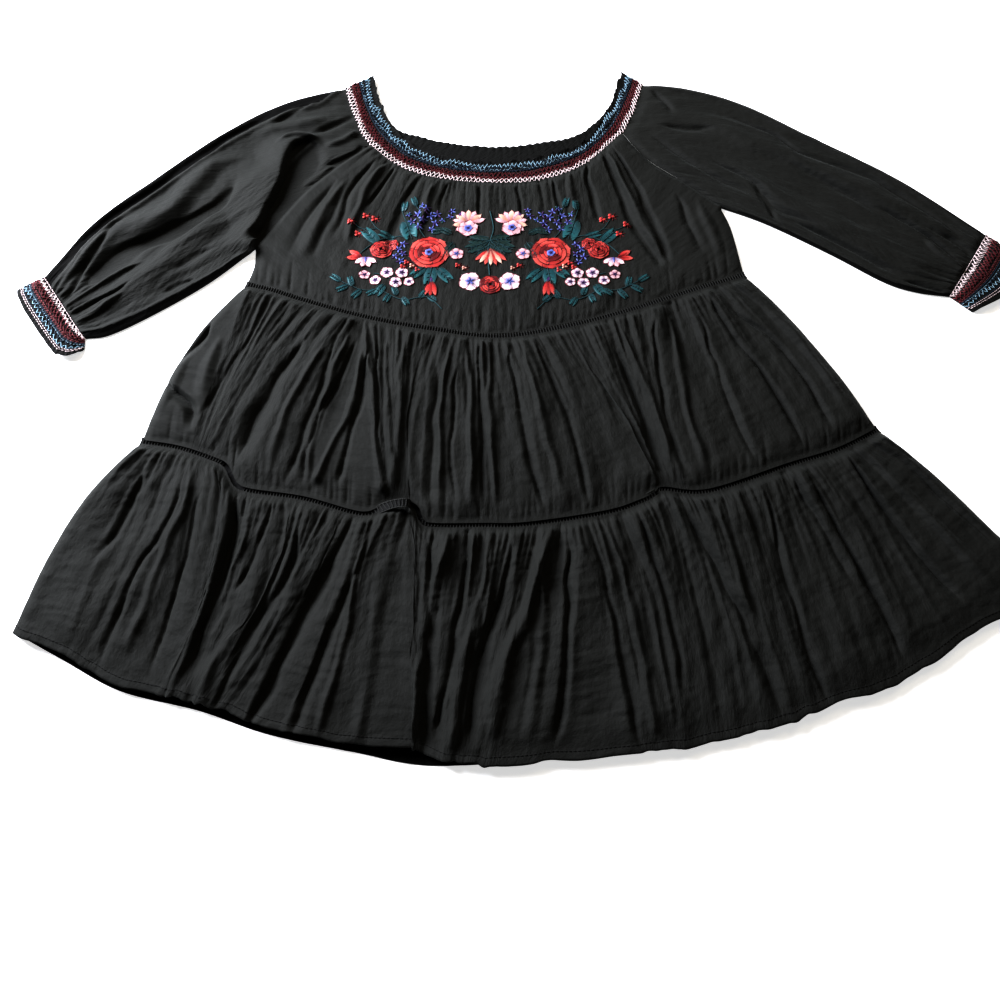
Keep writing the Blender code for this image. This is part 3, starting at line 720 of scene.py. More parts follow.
def spun(name, light, dark, sheen=0.15, roughness=0.55, ply=1.0):
    """Thread: plies that wind around it, with a soft gloss."""
    made, tree, shader = new_material(name)
    where = add_node(tree, "ShaderNodeTexCoord")
    parts = tree.nodes.new("ShaderNodeSeparateXYZ")
    tree.links.new(where.outputs["UV"], parts.inputs[0])
    wound = maths(tree, "ADD", parts.outputs[0], maths(tree, "MULTIPLY", parts.outputs[1], ply))
    plies = maths(tree, "SINE", maths(tree, "MULTIPLY", wound, 4 * math.pi))
    share = maths(tree, "MULTIPLY_ADD", plies, 0.5)
    share.node.inputs[2].default_value = 0.5
    patchy = noise_node(tree, where.outputs["Object"], 260.0, 2.0)
    # The plies' colour follows their bump, lighter on the crests and darker in the grooves between them:
    # painted shade
    tone = mixed(tree, share, dark, light)
    tree.links.new(mixed(tree, maths(tree, "MULTIPLY", patchy, 0.5), tone, dark),
        shader.inputs["Base Color"])
    normal = bumped(tree, share, 0.0002, 0.7)
    tree.links.new(normal, shader.inputs["Normal"])
    shader.inputs["Roughness"].default_value = roughness
    shader.inputs["Specular IOR Level"].default_value = 0.2
    shader.inputs["Sheen Weight"].default_value = sheen
    return made


def satin_stitch(name, base, middle, tip, roughness=0.45):
    """Laid floss: its colour runs from a petal's foot to its tip, with a strand's fine streaks."""
    made, tree, shader = new_material(name)
    where = add_node(tree, "ShaderNodeTexCoord")
    uv = where.outputs["UV"]
    parts = tree.nodes.new("ShaderNodeSeparateXYZ")
    tree.links.new(uv, parts.inputs[0])
    streak = noise_node(tree, stretched(tree, uv, 1.0, 0.004, 1.0), 1600.0, 2.0)
    shift = maths(tree, "MULTIPLY_ADD", streak, 0.3)
    shift.node.inputs[2].default_value = -0.15
    place = maths(tree, "ADD", parts.outputs[1], shift)
    ramp = tree.nodes.new("ShaderNodeValToRGB")
    ramp.color_ramp.elements[0].position = 0.08
    ramp.color_ramp.elements[0].color = (*base, 1.0)
    ramp.color_ramp.elements[1].position = 0.9
    ramp.color_ramp.elements[1].color = (*tip, 1.0)
    added = ramp.color_ramp.elements.new(0.5)
    added.color = (*middle, 1.0)
    tree.links.new(place, ramp.inputs[0])
    darker = tuple(0.55 * c for c in middle)
    share = maths(tree, "MULTIPLY", streak, 0.35)
    tree.links.new(mixed(tree, share, ramp.outputs[0], darker), shader.inputs["Base Color"])
    tree.links.new(bumped(tree, streak, 0.00018, 0.6), shader.inputs["Normal"])
    shader.inputs["Roughness"].default_value = roughness
    shader.inputs["Specular IOR Level"].default_value = 0.4
    shader.inputs["Sheen Weight"].default_value = 0.1
    return made


RAYON = woven("black rayon", (0.0226, 0.0236, 0.0206), (0.0140, 0.0147, 0.0128))
# A darker copy of the black rayon without sheen: painted shade, for the back lower tier beyond the hem and
# for the sleeves' edge bands and backs
RAYON_PAINTED_SHADE = woven(
    "black rayon, painted shade", (0.006, 0.006, 0.0056), (0.0035, 0.0035, 0.0033), sheen=0.0, specular=0.08
)
BAND = woven(
    "gathered black rayon", (0.014, 0.0145, 0.0135), (0.007, 0.0073, 0.0068), sheen=0.02, specular=0.2
)
# The tape's dark tone is partly the black tape's own colour and partly painted shade between the cords and
# under the rungs
TRIM = woven("black trim tape and painted shade", (0.006, 0.0062, 0.0058), (0.004, 0.0042, 0.004), sheen=0.0, thread=0.9)
CORD = spun("black trim thread", (0.036, 0.0375, 0.033), (0.017, 0.0175, 0.016), sheen=0.06)
BLACK_THREAD = spun("black sewing thread", (0.030, 0.031, 0.029), (0.010, 0.010, 0.010), sheen=0.02)
WHITE_THREAD = spun("white pink thread", (0.98, 0.90, 0.89), (0.72, 0.58, 0.58))
PINK_THREAD = spun("pink thread", (0.48, 0.17, 0.18), (0.24, 0.06, 0.07))
RED_THREAD = spun("dark red thread", (0.21, 0.018, 0.026), (0.045, 0.005, 0.008))
NAVY_THREAD = spun("navy thread", (0.014, 0.040, 0.078), (0.006, 0.015, 0.028))
SKY_THREAD = spun("light blue thread", (0.66, 0.82, 0.88), (0.20, 0.38, 0.50))
TEAL_THREAD = spun("teal thread", (0.040, 0.13, 0.145), (0.014, 0.050, 0.058))


# Height of the panels


def trim_rise(x, y):
    """The upper side of a trim, which rides over the large folds."""
    high, lean = large_rise(x, y, LARGE + LARGE_UPPER)
    return FRONT_TOP + TRIM_LIFT + FOLD_SHARE * high, lean * FOLD_SHARE


def panel(plan, ways, creases, spec, bottom_free=False):
    """A front panel's height and lean at each plan place, with the place along the seam above
    from which each point hangs and how far below that seam it lies."""
    x = plan[..., 0]
    y = plan[..., 1]
    share = np.linspace(0, 1, plan.shape[0])
    climb = steps_along(plan, 0)
    down = climb[-1] - climb
    aside = steps_along(plan, 1)
    covered = spec["covered"]
    edge = np.minimum(aside, aside[:, -1:] - aside)
    q = across_seam(x, share, ways)
    high, lean = large_rise(x, y, LARGE + LARGE_UPPER)
    seed = spec["seed"]
    puff = spec["puff"] * ease((down + 2) / 11) * (1 - 0.4 * ease(down / 110))
    puff = puff + opened_folds(q, down, spec["folds"], seed)
    for cell, high, run, fade in spec["crests"]:
        kept = np.exp(-down / fade) * ease((down + 1) / 8)
        puff = puff + high * kept * (crests(q, down, cell, run, seed + 61 + int(cell)) - 0.55)
    bent = q + 1.4 * noise(q, down, 30, 45, seed + 51)
    for number, row in enumerate(spec["gathers"]):
        puff = puff - gather_hollows(bent, down, seed + 17 + number, *row) * ease((down + 4) / 7)
    puff = puff + small_rise(x, y, creases)
    crinkles = 0.42 * noise(q, down, 5.0, 15, seed + 23) + 0.30 * noise(q, down, 3.4, 4.8, seed + 29)
    crinkles = crinkles + 0.9 * noise(q, down, 17, 26, seed + 37)
    slanted = down + 0.25 * q
    crinkles = crinkles + spec["cross"] * billows(slanted, q, 7, 20, seed + 43)
    puff = puff + crinkles * spec["crinkle"]
    if not bottom_free:
        pinned = 0.1 + 0.9 * ease(climb / 26)
        pucker = opened_folds(x, climb, spec["puckers"], seed + 31)
        puff = puff * pinned + pucker - gather_hollows(x, climb, seed + 41, 6.0, 2.4, 46, 1.5)
        puff = puff * ease((climb - 1.0) / 9)
    puff = puff * ease((down - covered) / 6)
    if bottom_free:
        lying = 0.35 + 0.35 * ease((60 - x) / 200)
        puff = puff * (lying + (1 - lying) * ease(climb / 34))
    z = soft_floor(FRONT_TOP + FOLD_SHARE * high + puff, 2.2)
    if spec["seams"]:
        sides = (y[:, :1] - SIDE_LEFT[0][1], y[:, -1:] - SIDE_RIGHT[0][1])
        past = (ease((sides[0] + 4) / 8), ease((sides[1] + 4) / 8))
        edge = np.minimum(aside + 20 * past[0], aside[:, -1:] - aside + 20 * past[1])
        sewn = np.minimum(aside + 20 * (1 - past[0]), aside[:, -1:] - aside + 20 * (1 - past[1]))
        z = FRONT_TOP + (z - FRONT_TOP) * ease((sewn + 1.5) / 7)
    rounded = round_edge(edge, 12)
    z = PANEL_EDGE + (z - PANEL_EDGE) * rounded
    return z, lean * rounded, q, down


# How each panel folds. covered: how far the seam above lies over it. folds and puckers, which start
# at the seam above and below: the width of a cell across, the height, the cell's length, how far
# from the seam the fold takes to rise, and how far out it fades (0 where it does not). crests: the
# width, height and length of a cell, and the fade. gathers: the pitch, depth, reach and width of
# the hollows at the seam above.
MIDDLE_SPEC = {
    "seed": 101,
    "covered": 1.0,
    "puff": 4.2,
    "folds": ((26, 3.6, 300, 60, 0), (12, 2.6, 170, 20, 220), (5.4, 1.6, 90, 6, 60)),
    "crests": ((4.8, 2.2, 70, 70), (8.0, 3.6, 140, 300), (19, 4.4, 260, 900)),
    "gathers": ((6.0, 3.2, 110, 1.7), (17, 3.6, 420, 3.2)),
    "crinkle": 1.15,
    "cross": 0.35,
    "puckers": ((5.5, 1.4, 40, 3, 18),),
    "seams": False,
}
LOWER_SPEC = {
    "seed": 211,
    "covered": 1.0,
    "puff": 5.0,
    "folds": ((28, 4.6, 320, 60, 0), (13, 3.4, 180, 22, 260), (5.6, 1.8, 90, 6, 65)),
    "crests": ((4.8, 2.2, 70, 70), (8.5, 3.8, 140, 300), (21, 5.0, 240, 900)),
    "gathers": ((5.8, 3.8, 120, 1.7), (18, 4.4, 420, 3.4)),
    "crinkle": 1.3,
    "cross": 0.5,
    "puckers": (),
    "seams": False,
}
BODICE_SPEC = {
    "seed": 307,
    "covered": -1.5,
    "puff": 2.6,
    "folds": ((22, 2.0, 260, 40, 160), (10, 1.6, 130, 16, 90), (5.4, 0.9, 70, 5, 30)),
    "crests": ((7.0, 1.6, 60, 90), (17, 1.8, 90, 200)),
    "gathers": ((5.2, 2.8, 56, 1.5), (17, 1.6, 110, 2.6)),
    "crinkle": 1.0,
    "cross": 0.2,
    "puckers": ((9.0, 1.6, 70, 4, 50), (5.5, 1.4, 40, 3, 22)),
    "seams": True,
}


def cloth_map(q, down):
    """The cloth's own map in metres."""
    return np.stack([q * 1.5 * MM, down * MM], axis=-1)


def inset(plan, bottom, top=0.0):
    """The plan with its lower and upper edges moved in by the given amounts."""
    shift = np.linspace(0, 1, plan.shape[0])[:, None, None]
    low = beside(plan[0], bottom) - plan[0]
    high = beside(plan[-1], -top) - plan[-1]
    return plan + (1 - shift) ** 6 * low + shift**6 * high


def tucked(points, rows, drop, slide):
    """Extra rows under the lower edge, which turn the cloth in by a round fold."""
    edge = points[0]
    inward = points[2] - points[0]
    inward = inward / np.maximum(np.linalg.norm(inward, axis=-1)[:, None], 1e-6)
    made = []
    for k in range(rows, 0, -1):
        angle = math.pi * k / rows
        lower = edge.copy()
        lower += inward * slide * (k / rows) * (1 - math.cos(angle)) / 2
        lower[:, 2] -= drop * (1 - math.cos(angle)) / 2
        made.append(lower)
    return np.concatenate([np.array(made), points], axis=0)


def build_bodice():
    rows, columns = 118, 384
    left = even(joined(line(SIDE_LEFT[::-1], 60), line(RAGLAN_LEFT[::-1], 90)), rows)
    right = even(joined(line(SIDE_RIGHT[::-1], 60), line(RAGLAN_RIGHT[::-1], 90)), rows)
    plan = patch(line(UPPER_TRIM, columns), line(NECK_SEAM_FRONT, columns), left, right)
    plan = inset(plan, PANEL_INSET, -1.0)
    front = hang("front_bodice", "bodice_front", plan, BODICE_WAYS, BODICE_CREASES, BODICE_SPEC)
    columns = 90
    rows = 50
    left = even(left, rows)
    right = even(right, rows)
    bottom = line(UPPER_TRIM, columns)
    top = line(BACK_NECK_SEAM, columns)
    back = hang_back("back_bodice", "bodice_back", bottom, top, left, right, 401)
    return front


def hang(name, node, plan, ways, creases, spec):
    """The piece of a front panel that is sewn in below as well as above."""
    z, lean, q, down = panel(plan, ways, creases, spec)
    points = settled(plan[..., 0], plan[..., 1], z, lean)
    return shell(name, points, cloth_map(q, down), RAYON, "rayon", node)


def back_panel(plan, seed, rise):
    """A back panel, nearly flat on the surface."""
    x = plan[..., 0]
    climb = steps_along(plan, 0)
    z = 0.25 + rise * billows(x, climb, 14, 160, seed)
    z = z + 0.1 * noise(x, climb, 5, 20, seed + 3)
    z = np.clip(z, 0.15, 1.4)
    points = np.stack([x, plan[..., 1], z], axis=-1)
    return points, cloth_map(x, climb)


def hang_back(name, node, bottom, top, left, right, seed, look=None, rise=0.9):
    """The piece of a back panel between four lines."""
    points, uv = back_panel(patch(bottom, top, left, right), seed, rise)
    return shell(name, points, uv, look or RAYON, "rayon", node)


def build_tiers():
    rows, columns = 106, 600
    left = line(TIER_SIDE_LEFT[::-1], rows)
    right = line(TIER_SIDE_RIGHT[::-1], rows)
    plan = patch(line(LOWER_TRIM_SHOWN, columns), line(UPPER_TRIM, columns), left, right)
    plan = inset(plan, PANEL_INSET, PANEL_INSET)
    front = hang("front_middle_tier", "middle_tier_front", plan, MIDDLE_WAYS, MIDDLE_CREASES, MIDDLE_SPEC)
    left = line(TIER_SIDE_LEFT[::-1], 40)
    right = line(TIER_SIDE_RIGHT[::-1], 40)
    bottom = line(BACK_LOWER_TRIM, 120)
    top = line(UPPER_TRIM, 120)
    back = hang_back("back_middle_tier", "middle_tier_back", bottom, top, left, right, 409)

    rows, columns = 118, 710
    left = line(HEM_SIDE_LEFT[::-1], rows)
    right = line(HEM_SIDE_RIGHT[::-1], rows)
    hem = line(HEM, columns)
    plan = patch(hem, line(LOWER_TRIM_SHOWN, columns), left, right)
    plan = inset(plan, 0.0, PANEL_INSET)
    z, lean, q, down = panel(plan, LOWER_WAYS, LOWER_CREASES, LOWER_SPEC, bottom_free=True)
    climb = steps_along(plan, 0)
    turned = (climb < HEM_DEPTH) & (climb > 0.2)
    z = z + 0.35 * turned
    z = z + 0.35 * noise(q, climb, 3.2, 12, 997) * np.exp(-climb / 6)
    wave = 3.0 * (billows(q, climb, 20, 400, 991) - 0.4) + 1.2 * noise(q, climb, 7, 400, 993)
    sway = 0.35 * RISE_SHIFT * (z - 6.0) - wave
    hem_y = plan[..., 1] + sway * np.exp(-climb / 14)
    points = settled(plan[..., 0], hem_y, z, lean)
    points = tucked(points, TUCK_ROWS, 1.3, 3.0)
    uv = cloth_map(q, down)
    under = np.linspace(TUCK_ROWS, 1, TUCK_ROWS)[:, None, None] * (0.0, 0.001)
    extra = np.repeat(uv[:1], TUCK_ROWS, axis=0) + under
    uv = np.concatenate([extra, uv], axis=0)
    front = shell("front_lower_tier", points, uv, RAYON, "rayon", "lower_tier_front")
    left = line(HEM_SIDE_LEFT[::-1], 60)
    right = line(HEM_SIDE_RIGHT[::-1], 60)
    lines = (line(BACK_HEM, 240), line(BACK_LOWER_TRIM, 240), left, right)
    # The back lower tier, which shows beyond the front hem, is drawn in the darker copy of the cloth:
    # painted shade
    back = hang_back("back_lower_tier", "lower_tier_back", *lines, 419, RAYON_PAINTED_SHADE, 1.0)
    return points, climb


def build_trims():
    build_trim("upper_ladder_trim", [UPPER_TRIM], "upper_trim_front", True)
    build_trim("lower_ladder_trim", LOWER_TRIM_STRIPS, "lower_trim_front", True, LOWER_TRIM_UNDER)
    build_trim("upper_back_trim", [UPPER_TRIM], "upper_trim_back", False)
    build_trim("lower_back_trim", [BACK_LOWER_TRIM], "lower_trim_back", False)


def build_trim(name, strips, node, front, under=()):
    """A ladder trim: a tape in one or more strips, with edge cords and threads across it on the front."""
    across = np.linspace(-1, 1, 9)
    bowl = 0.35 * np.cos(across * math.pi / 2)[:, None]
    tape = Patches()
    cords = Patches()

    def laid(middle):
        """A strip's plan places, the way walked along it and its map."""
        plan = np.stack([beside(middle, TAPE_HALF * side) for side in across])
        reach = steps_along(plan, 1)
        wide = np.broadcast_to(across[:, None], reach.shape) * TAPE_MAP
        return plan[..., 0], plan[..., 1], reach, np.stack([reach * MM, wide], axis=-1)

    for number, points in enumerate(strips):
        dense = catmull(points)
        length = np.sum(np.linalg.norm(np.diff(dense, axis=0), axis=1))
        middle = line(points, max(12, int(length if front else length / 3)))
        x, y, reach, uv = laid(middle)
        if not front:
            z = 0.7 + 0.1 * noise(reach, y, 4.5, 400, 61) - bowl
            tape.add(np.stack([x, y, z], axis=-1), uv)
            continue
        z, lean = trim_rise(x, y)
        z = z + 0.2 * noise(reach, y, 5.5, 400, 61) + 0.4 * noise(reach, y, 22, 400, 67)
        if number > 0:
            z = z - 3.0 * ease(1 - reach / 7)
        if number < len(strips) - 1:
            z = z - 3.0 * ease(1 - (reach[:, -1:] - reach) / 7)
        base = settled(x, y, z - bowl, lean)
        tape.add(base, uv)
        over = base.copy()
        over[..., 2] += bowl + 0.4
        for row in (0, 8):
            cords.add(*tube(over[row] - (0, 0, 0.5), 0.85, 6, 0.8), wrap=True)
        count = int(reach[4, -1] / RUNG_STEP)
        for k in range(1, count):
            at = np.full(5, k / count * (len(middle) - 1))
            path = on_grid(over, np.linspace(0.6, 7.4, 5), at)
            path[:, 2] += 0.1
            cords.add(*tube(path, 0.62, 5), wrap=True)
    # Lowered strips of the dark tape where the trim runs under a fold, which show as painted shade in the
    # fold's hollow
    for points in under:
        x, y, reach, uv = laid(line(points, 24))
        z, lean = trim_rise(x, y)
        tape.add(settled(x, y, z - 2.4 - bowl, lean), uv)
    own(tape.make(name, TRIM), "trim", node)
    if front:
        own(cords.make(name + "_threads", CORD), "trim")


def zigzag(steps, low, high, phase):
    """Rows and columns of a zigzag along a band, in shares of its width and in steps."""
    at = np.arange(0, steps + 0.01, 0.5)
    corner = (np.arange(len(at)) + int(phase)) % 2
    row = np.where(corner == 0, low, high).astype(float)
    fine = np.linspace(0, len(at) - 1, (len(at) - 1) * 2 + 1)
    return np.interp(fine, np.arange(len(at)), row), np.interp(fine, np.arange(len(at)), at)


def band_threads(name, grid, steps, rows, wrap=False):
    """Threads on a smocked band: each row gives its look, form, place and thickness."""
    sets = {}
    last_row = grid.shape[0] - 1
    last_column = grid.shape[1] - 1
    rng = random.Random(name)
    for look, form, low, high, phase, radius in rows:
        patches = sets.setdefault(look.name, (look, Patches()))[1]
        if form == "zigzag":
            row, at = zigzag(steps, low, high, phase)
            knots = np.arange(0, steps + 9, 3.0)
            sway = np.interp(at, knots, [rng.uniform(-1, 1) for _ in knots])
            row = row + (0.09 if look is SKY_THREAD else 0.04) * sway
            path = on_grid(grid, row * last_row, at / steps * last_column)
            path[:, 2] += radius * 0.75
            path += np.array([[rng.uniform(-0.45, 0.45) for _ in range(3)] for _ in range(len(path))])
            patches.add(*tube(path, radius, 5, 0.7), wrap=True)
        elif form == "line":
            at = np.linspace(0, steps, int(steps * 6) + 1)
            path = on_grid(grid, np.full(len(at), low * last_row), at / steps * last_column)
            path[:, 2] += radius * 0.6
            patches.add(*tube(path, radius, 6, 0.7), wrap=True)
        elif form == "dashes":
            count = int(steps * 2)
            for k in range(count):
                start = (k + 0.18 + 0.1 * rng.random()) / count
                stop = (k + 0.82 + 0.1 * rng.random()) / count
                share = np.linspace(start, stop, 5) + phase / count / 2
                tilt = np.linspace(low, high, 5)
                path = on_grid(grid, tilt * last_row, np.clip(share, 0, 1) * last_column)
                path[:, 2] += radius * 0.5 + 0.25 * np.sin(np.linspace(0, math.pi, 5))
                patches.add(*tube(path, radius, 6, 0.75), wrap=True)
    for number, (look, patches) in enumerate(sets.values()):
        own(patches.make(f"{name}_threads_{number + 1}", look), "smocked")


NECK_ROWS = [
    (WHITE_THREAD, "zigzag", 0.01, 0.14, 0, 0.7),
    (WHITE_THREAD, "zigzag", 0.10, 0.23, 1, 0.62),
    (PINK_THREAD, "zigzag", 0.20, 0.31, 0, 0.42),
    (RED_THREAD, "zigzag", 0.23, 0.35, 1, 0.8),
    (RED_THREAD, "zigzag", 0.33, 0.47, 0, 0.78),
    (PINK_THREAD, "zigzag", 0.42, 0.49, 1, 0.22),
    (NAVY_THREAD, "line", 0.53, 0.53, 0, 0.7),
    (NAVY_THREAD, "zigzag", 0.55, 0.63, 0, 0.6),
    (SKY_THREAD, "zigzag", 0.60, 0.68, 0, 0.36),
    (NAVY_THREAD, "zigzag", 0.66, 0.79, 0, 0.6),
    (SKY_THREAD, "zigzag", 0.67, 0.84, 1, 0.56),
]
CUFF_ROWS = [
    (WHITE_THREAD, "dashes", 0.02, 0.02, 0, 0.6),
    (WHITE_THREAD, "zigzag", 0.05, 0.15, 0, 0.75),
    (WHITE_THREAD, "dashes", 0.10, 0.17, 1, 0.5),
    (PINK_THREAD, "zigzag", 0.17, 0.26, 0, 0.5),
    (RED_THREAD, "zigzag", 0.22, 0.33, 1, 0.8),
    (RED_THREAD, "zigzag", 0.30, 0.39, 0, 0.65),
    (PINK_THREAD, "dashes", 0.40, 0.41, 0, 0.35),
    (RED_THREAD, "line", 0.43, 0.43, 0, 0.5),
    (PINK_THREAD, "dashes", 0.46, 0.47, 1, 0.3),
    (NAVY_THREAD, "line", 0.50, 0.50, 0, 0.7),
    (SKY_THREAD, "dashes", 0.54, 0.56, 0, 0.4),
    (NAVY_THREAD, "zigzag", 0.56, 0.65, 1, 0.65),
    (SKY_THREAD, "zigzag", 0.60, 0.72, 0, 0.55),
    (NAVY_THREAD, "line", 0.75, 0.75, 0, 0.5),
    (WHITE_THREAD, "dashes", 0.79, 0.79, 0, 0.5),
    (WHITE_THREAD, "dashes", 0.85, 0.85, 1, 0.5),
]


def between(first, second, rows):
    """Plan points in rows from one line to another, and each row's share of the way."""
    share = np.linspace(0, 1, rows + 1)[:, None, None]
    return (1 - share) * first + share * second, share[..., 0]


def smocking(across, steps, columns):
    """The phase along a smocked band, and its ribs, which swap places from row to row."""
    phase = np.linspace(0, steps / 1.6, columns + 1)[None, :]
    flip = np.sign(np.sin(across * 5 * math.pi + 0.3))
    return phase, 0.5 + 0.5 * np.cos(2 * math.pi * (2 * phase + 0.25 * flip))


def build_neckbands():
    columns = 520
    rows = 26
    outer = joined(line(NECK_SEAM_LEFT, 100), line(NECK_SEAM_FRONT, 300), line(NECK_SEAM_RIGHT, 100))
    outer = beside(even(outer, columns), -0.5)
    inner = line(NECK_EDGE, columns)
    plan, across = between(outer, inner, rows)
    reach = steps_along(plan, 1)
    steps = round(reach[0, -1] / NECK_STITCH)
    phase, rib = smocking(across, steps, columns)
    wild = noise(phase, across * 3, 0.6, 1.0, 71)
    frill = ease((across - 0.84) / 0.16)
    ruffle = 0.5 + 0.5 * noise(reach, across, 3.2, 9, 73)
    roll = noise(reach, across, 11, 9, 75)
    x = plan[..., 0]
    y = plan[..., 1]
    high = large_rise(x, y, LARGE_UPPER)[0]
    z = FRONT_TOP + 0.3 * high + 0.9 * rib * (1 - frill) + frill * (0.6 + 2.2 * ruffle) + 0.3 * wild
    z = z + 0.9 * ease((across - 0.45) / 0.4) * (roll + 0.6)
    far = np.minimum(reach, reach[:, -1:] - reach)
    flare = 4.5 * np.exp(-far / 55)
    out = frill * (1.8 * ruffle + 0.6 * wild + flare - 2.5) + 1.8 * roll * ease((across - 0.35) / 0.5)
    normal = inner - outer
    normal = normal / np.linalg.norm(normal, axis=1)[:, None]
    plan = plan + out[..., None] * normal[None]
    points = settled(plan[..., 0], plan[..., 1], z)
    points[0, :, 2] -= 1.0
    uv = np.stack([reach * 2 * MM, np.broadcast_to(across * BAND_MAP, x.shape)], axis=-1)
    band = shell("front_neckband", points, uv, BAND, "smocked", "neckband_front")
    # The full strip has 0.0323 m2. The pleats here are too shallow to hold it, so this area and the
    # back band's are less than the cut's.
    band_threads("neckband", points, steps, NECK_ROWS)

    columns = 400
    outer = joined(line(NECK_SEAM_LEFT, 100), line(BACK_NECK_SEAM, 300), line(NECK_SEAM_RIGHT, 100))
    outer = even(outer, columns)
    inner = line(BACK_NECK_EDGE, columns)
    plan, across = between(outer, inner, 14)
    phase = np.linspace(0, 150, columns + 1)[None, :]
    rib = noise(phase, across * 3, 0.8, 2.0, 83)
    frill = ease((across - 0.7) / 0.3)
    ripple = np.sin(phase * 2.1 + 2.0 * noise(phase, across, 9, 3, 89))
    rows = 0.25 * np.cos(2 * math.pi * 5.5 * across)
    z = 1.2 + 0.25 * rib + rows + frill * (0.9 + 0.5 * ripple)
    slow = noise(phase, across, 3.5, 3, 87)
    out = frill * (0.15 * ripple + 0.25 * rib + 1.3 * slow)
    plan = plan + out[..., None] * np.array((0.0, 1.0))
    points = np.stack([plan[..., 0], plan[..., 1], z], axis=-1)
    reach = steps_along(plan, 1)
    uv = np.stack([reach * 2 * MM, np.broadcast_to(across * BAND_MAP, reach.shape)], axis=-1)
    band = shell("back_neckband", points, uv, BAND, "rayon", "neckband_back")


def laid_tube(front, back_columns=BACK_COLUMNS):
    """A flattened tube from the points of its front: columns go on round its back."""
    rows, columns = front.shape[:2]
    share = np.linspace(1, 0, back_columns + 2)[1:-1]
    back = on_grid(
        front,
        np.broadcast_to(np.arange(rows, dtype=float)[:, None], (rows, back_columns)),
        np.broadcast_to((share * (columns - 1))[None], (rows, back_columns)),
    )
    straight = front[:, :1] + share[None, :, None] * (front[:, -1:] - front[:, :1])
    edge = np.minimum(share, 1 - share)
    width = np.linalg.norm(front[:, -1] - front[:, 0], axis=1)[:, None]
    drop = round_edge(edge[None] * width, 5.0)
    back[..., :2] = 0.5 * back[..., :2] + 0.5 * straight[..., :2]
    back[..., 2] = TUBE_EDGE - (TUBE_EDGE - 0.12) * drop
    return np.concatenate([front, back], axis=1)


def build_sleeve(name, raglan, shoulder, top, low, outward, creases, seed):
    """A sleeve from its raglan and shoulder seams to the cuff; outward is 1 or -1."""
    columns, rows = 152, 176
    seam = even(joined(line(raglan[::-1], 120), line(shoulder, 80)), columns)
    seam = beside(seam, outward * 0.7)
    wrist = line([low[-1], top[-1]], columns)
    wrist = beside(wrist, outward * 1.0)
    plan = patch(seam, wrist, line(low, rows), line(top, rows))
    x = plan[..., 0]
    y = plan[..., 1]
    along = steps_along(plan, 0)
    ahead = along[-1] - along
    across = steps_along(plan, 1)
    edge = np.minimum(across, across[:, -1:] - across)
    share = across / across[:, -1:]
    # rim: the width of the band along each long edge that takes the darker copy of the cloth, which is
    # painted shade; a low ridge runs just inside it
    rim = np.where(share > 0.5, 18.0, 8.0) * ease(along / 40)
    rim = rim if outward > 0 else 0.35 * rim
    spot = share * 150.0
    high, lean = large_rise(x, y, LARGE_UPPER)
    puff = 2.2 * ease(along / 14) + 2.0 * billows(spot, along, 30, 150, seed) * ease(along / 30)
    puff = puff + 1.0 * billows(spot, along, 14, 90, seed + 5)
    puff = puff + 2.0 * (crests(spot, along, 17, 120, seed + 21) - 0.5) * ease(along / 25)
    gathered = np.exp(-ahead / 60)
    puff = puff + gathered * 3.0 * billows(spot, ahead, 9, 110, seed + 9) * ease(ahead / 12)
    pulled = spot + 1.5 * noise(spot, ahead, 30, 45, seed + 51)
    puff = puff - gather_hollows(pulled, ahead, seed + 3, 9, 3.0, 90, 2.4) * ease((ahead + 3) / 7)
    puff = puff - gather_hollows(pulled, ahead, seed + 4, 26, 2.0, 150, 4.0) * ease((ahead + 3) / 12)
    puff = puff - gather_hollows(pulled, along, seed + 6, 12, 2.2, 70, 2.4) * ease((along + 3) / 8)
    shoulder_pull = np.exp(-along / 28)
    puff = puff + shoulder_pull * 1.4 * billows(spot, along, 8, 40, seed + 11)
    puff = puff + small_rise(x, y, creases)
    puff = puff + 0.45 * noise(spot, along, 6, 20, seed + 15)
    puff = puff + 0.28 * noise(spot, along, 3.4, 4.4, seed + 17)
    puff = puff * ease((along + 1.5) / 8) * ease((ahead + 1.5) / 8)
    puff = puff + 2.4 * np.exp(-(((edge - 1.25 * rim) / 3.2) ** 2)) * ease(rim / 4)
    z = soft_floor(FRONT_TOP + 0.9 * high + puff, 2.3)
    rounded = round_edge(edge, 9)
    z = TUBE_EDGE + (z - TUBE_EDGE) * rounded
    front = settled(x, y, z, lean * rounded)
    front[..., 1] += RISE_SHIFT * (TUBE_EDGE - FRONT_TOP) * (1 - rounded)
    points = laid_tube(front)
    back = 1 - np.linspace(1, 0, BACK_COLUMNS + 2)[1:-1]
    around = np.concatenate([across, across[:, -1:] + back * across[:, -1:]], 1)
    uv = np.stack([around * MM, np.broadcast_to(along[:, :1], around.shape) * MM], axis=-1)
    node = "_".join(reversed(name.split("_")))
    made = shell(name, points, uv, RAYON, "rayon", node, wrap=True)
    # The faces within the rim of each long edge, and the tube's back, take the darker copy of the cloth:
    # painted shade
    made.data.materials.append(RAYON_PAINTED_SHADE)
    turned = (edge < rim * (1 + 0.1 * noise(along, share * 0, 60, 1, seed + 33)))[:-1]
    face = np.ones((turned.shape[0], points.shape[1]), int)
    face[:, : turned.shape[1]] = turned
    made.data.polygons.foreach_set("material_index", face.ravel())
    return made


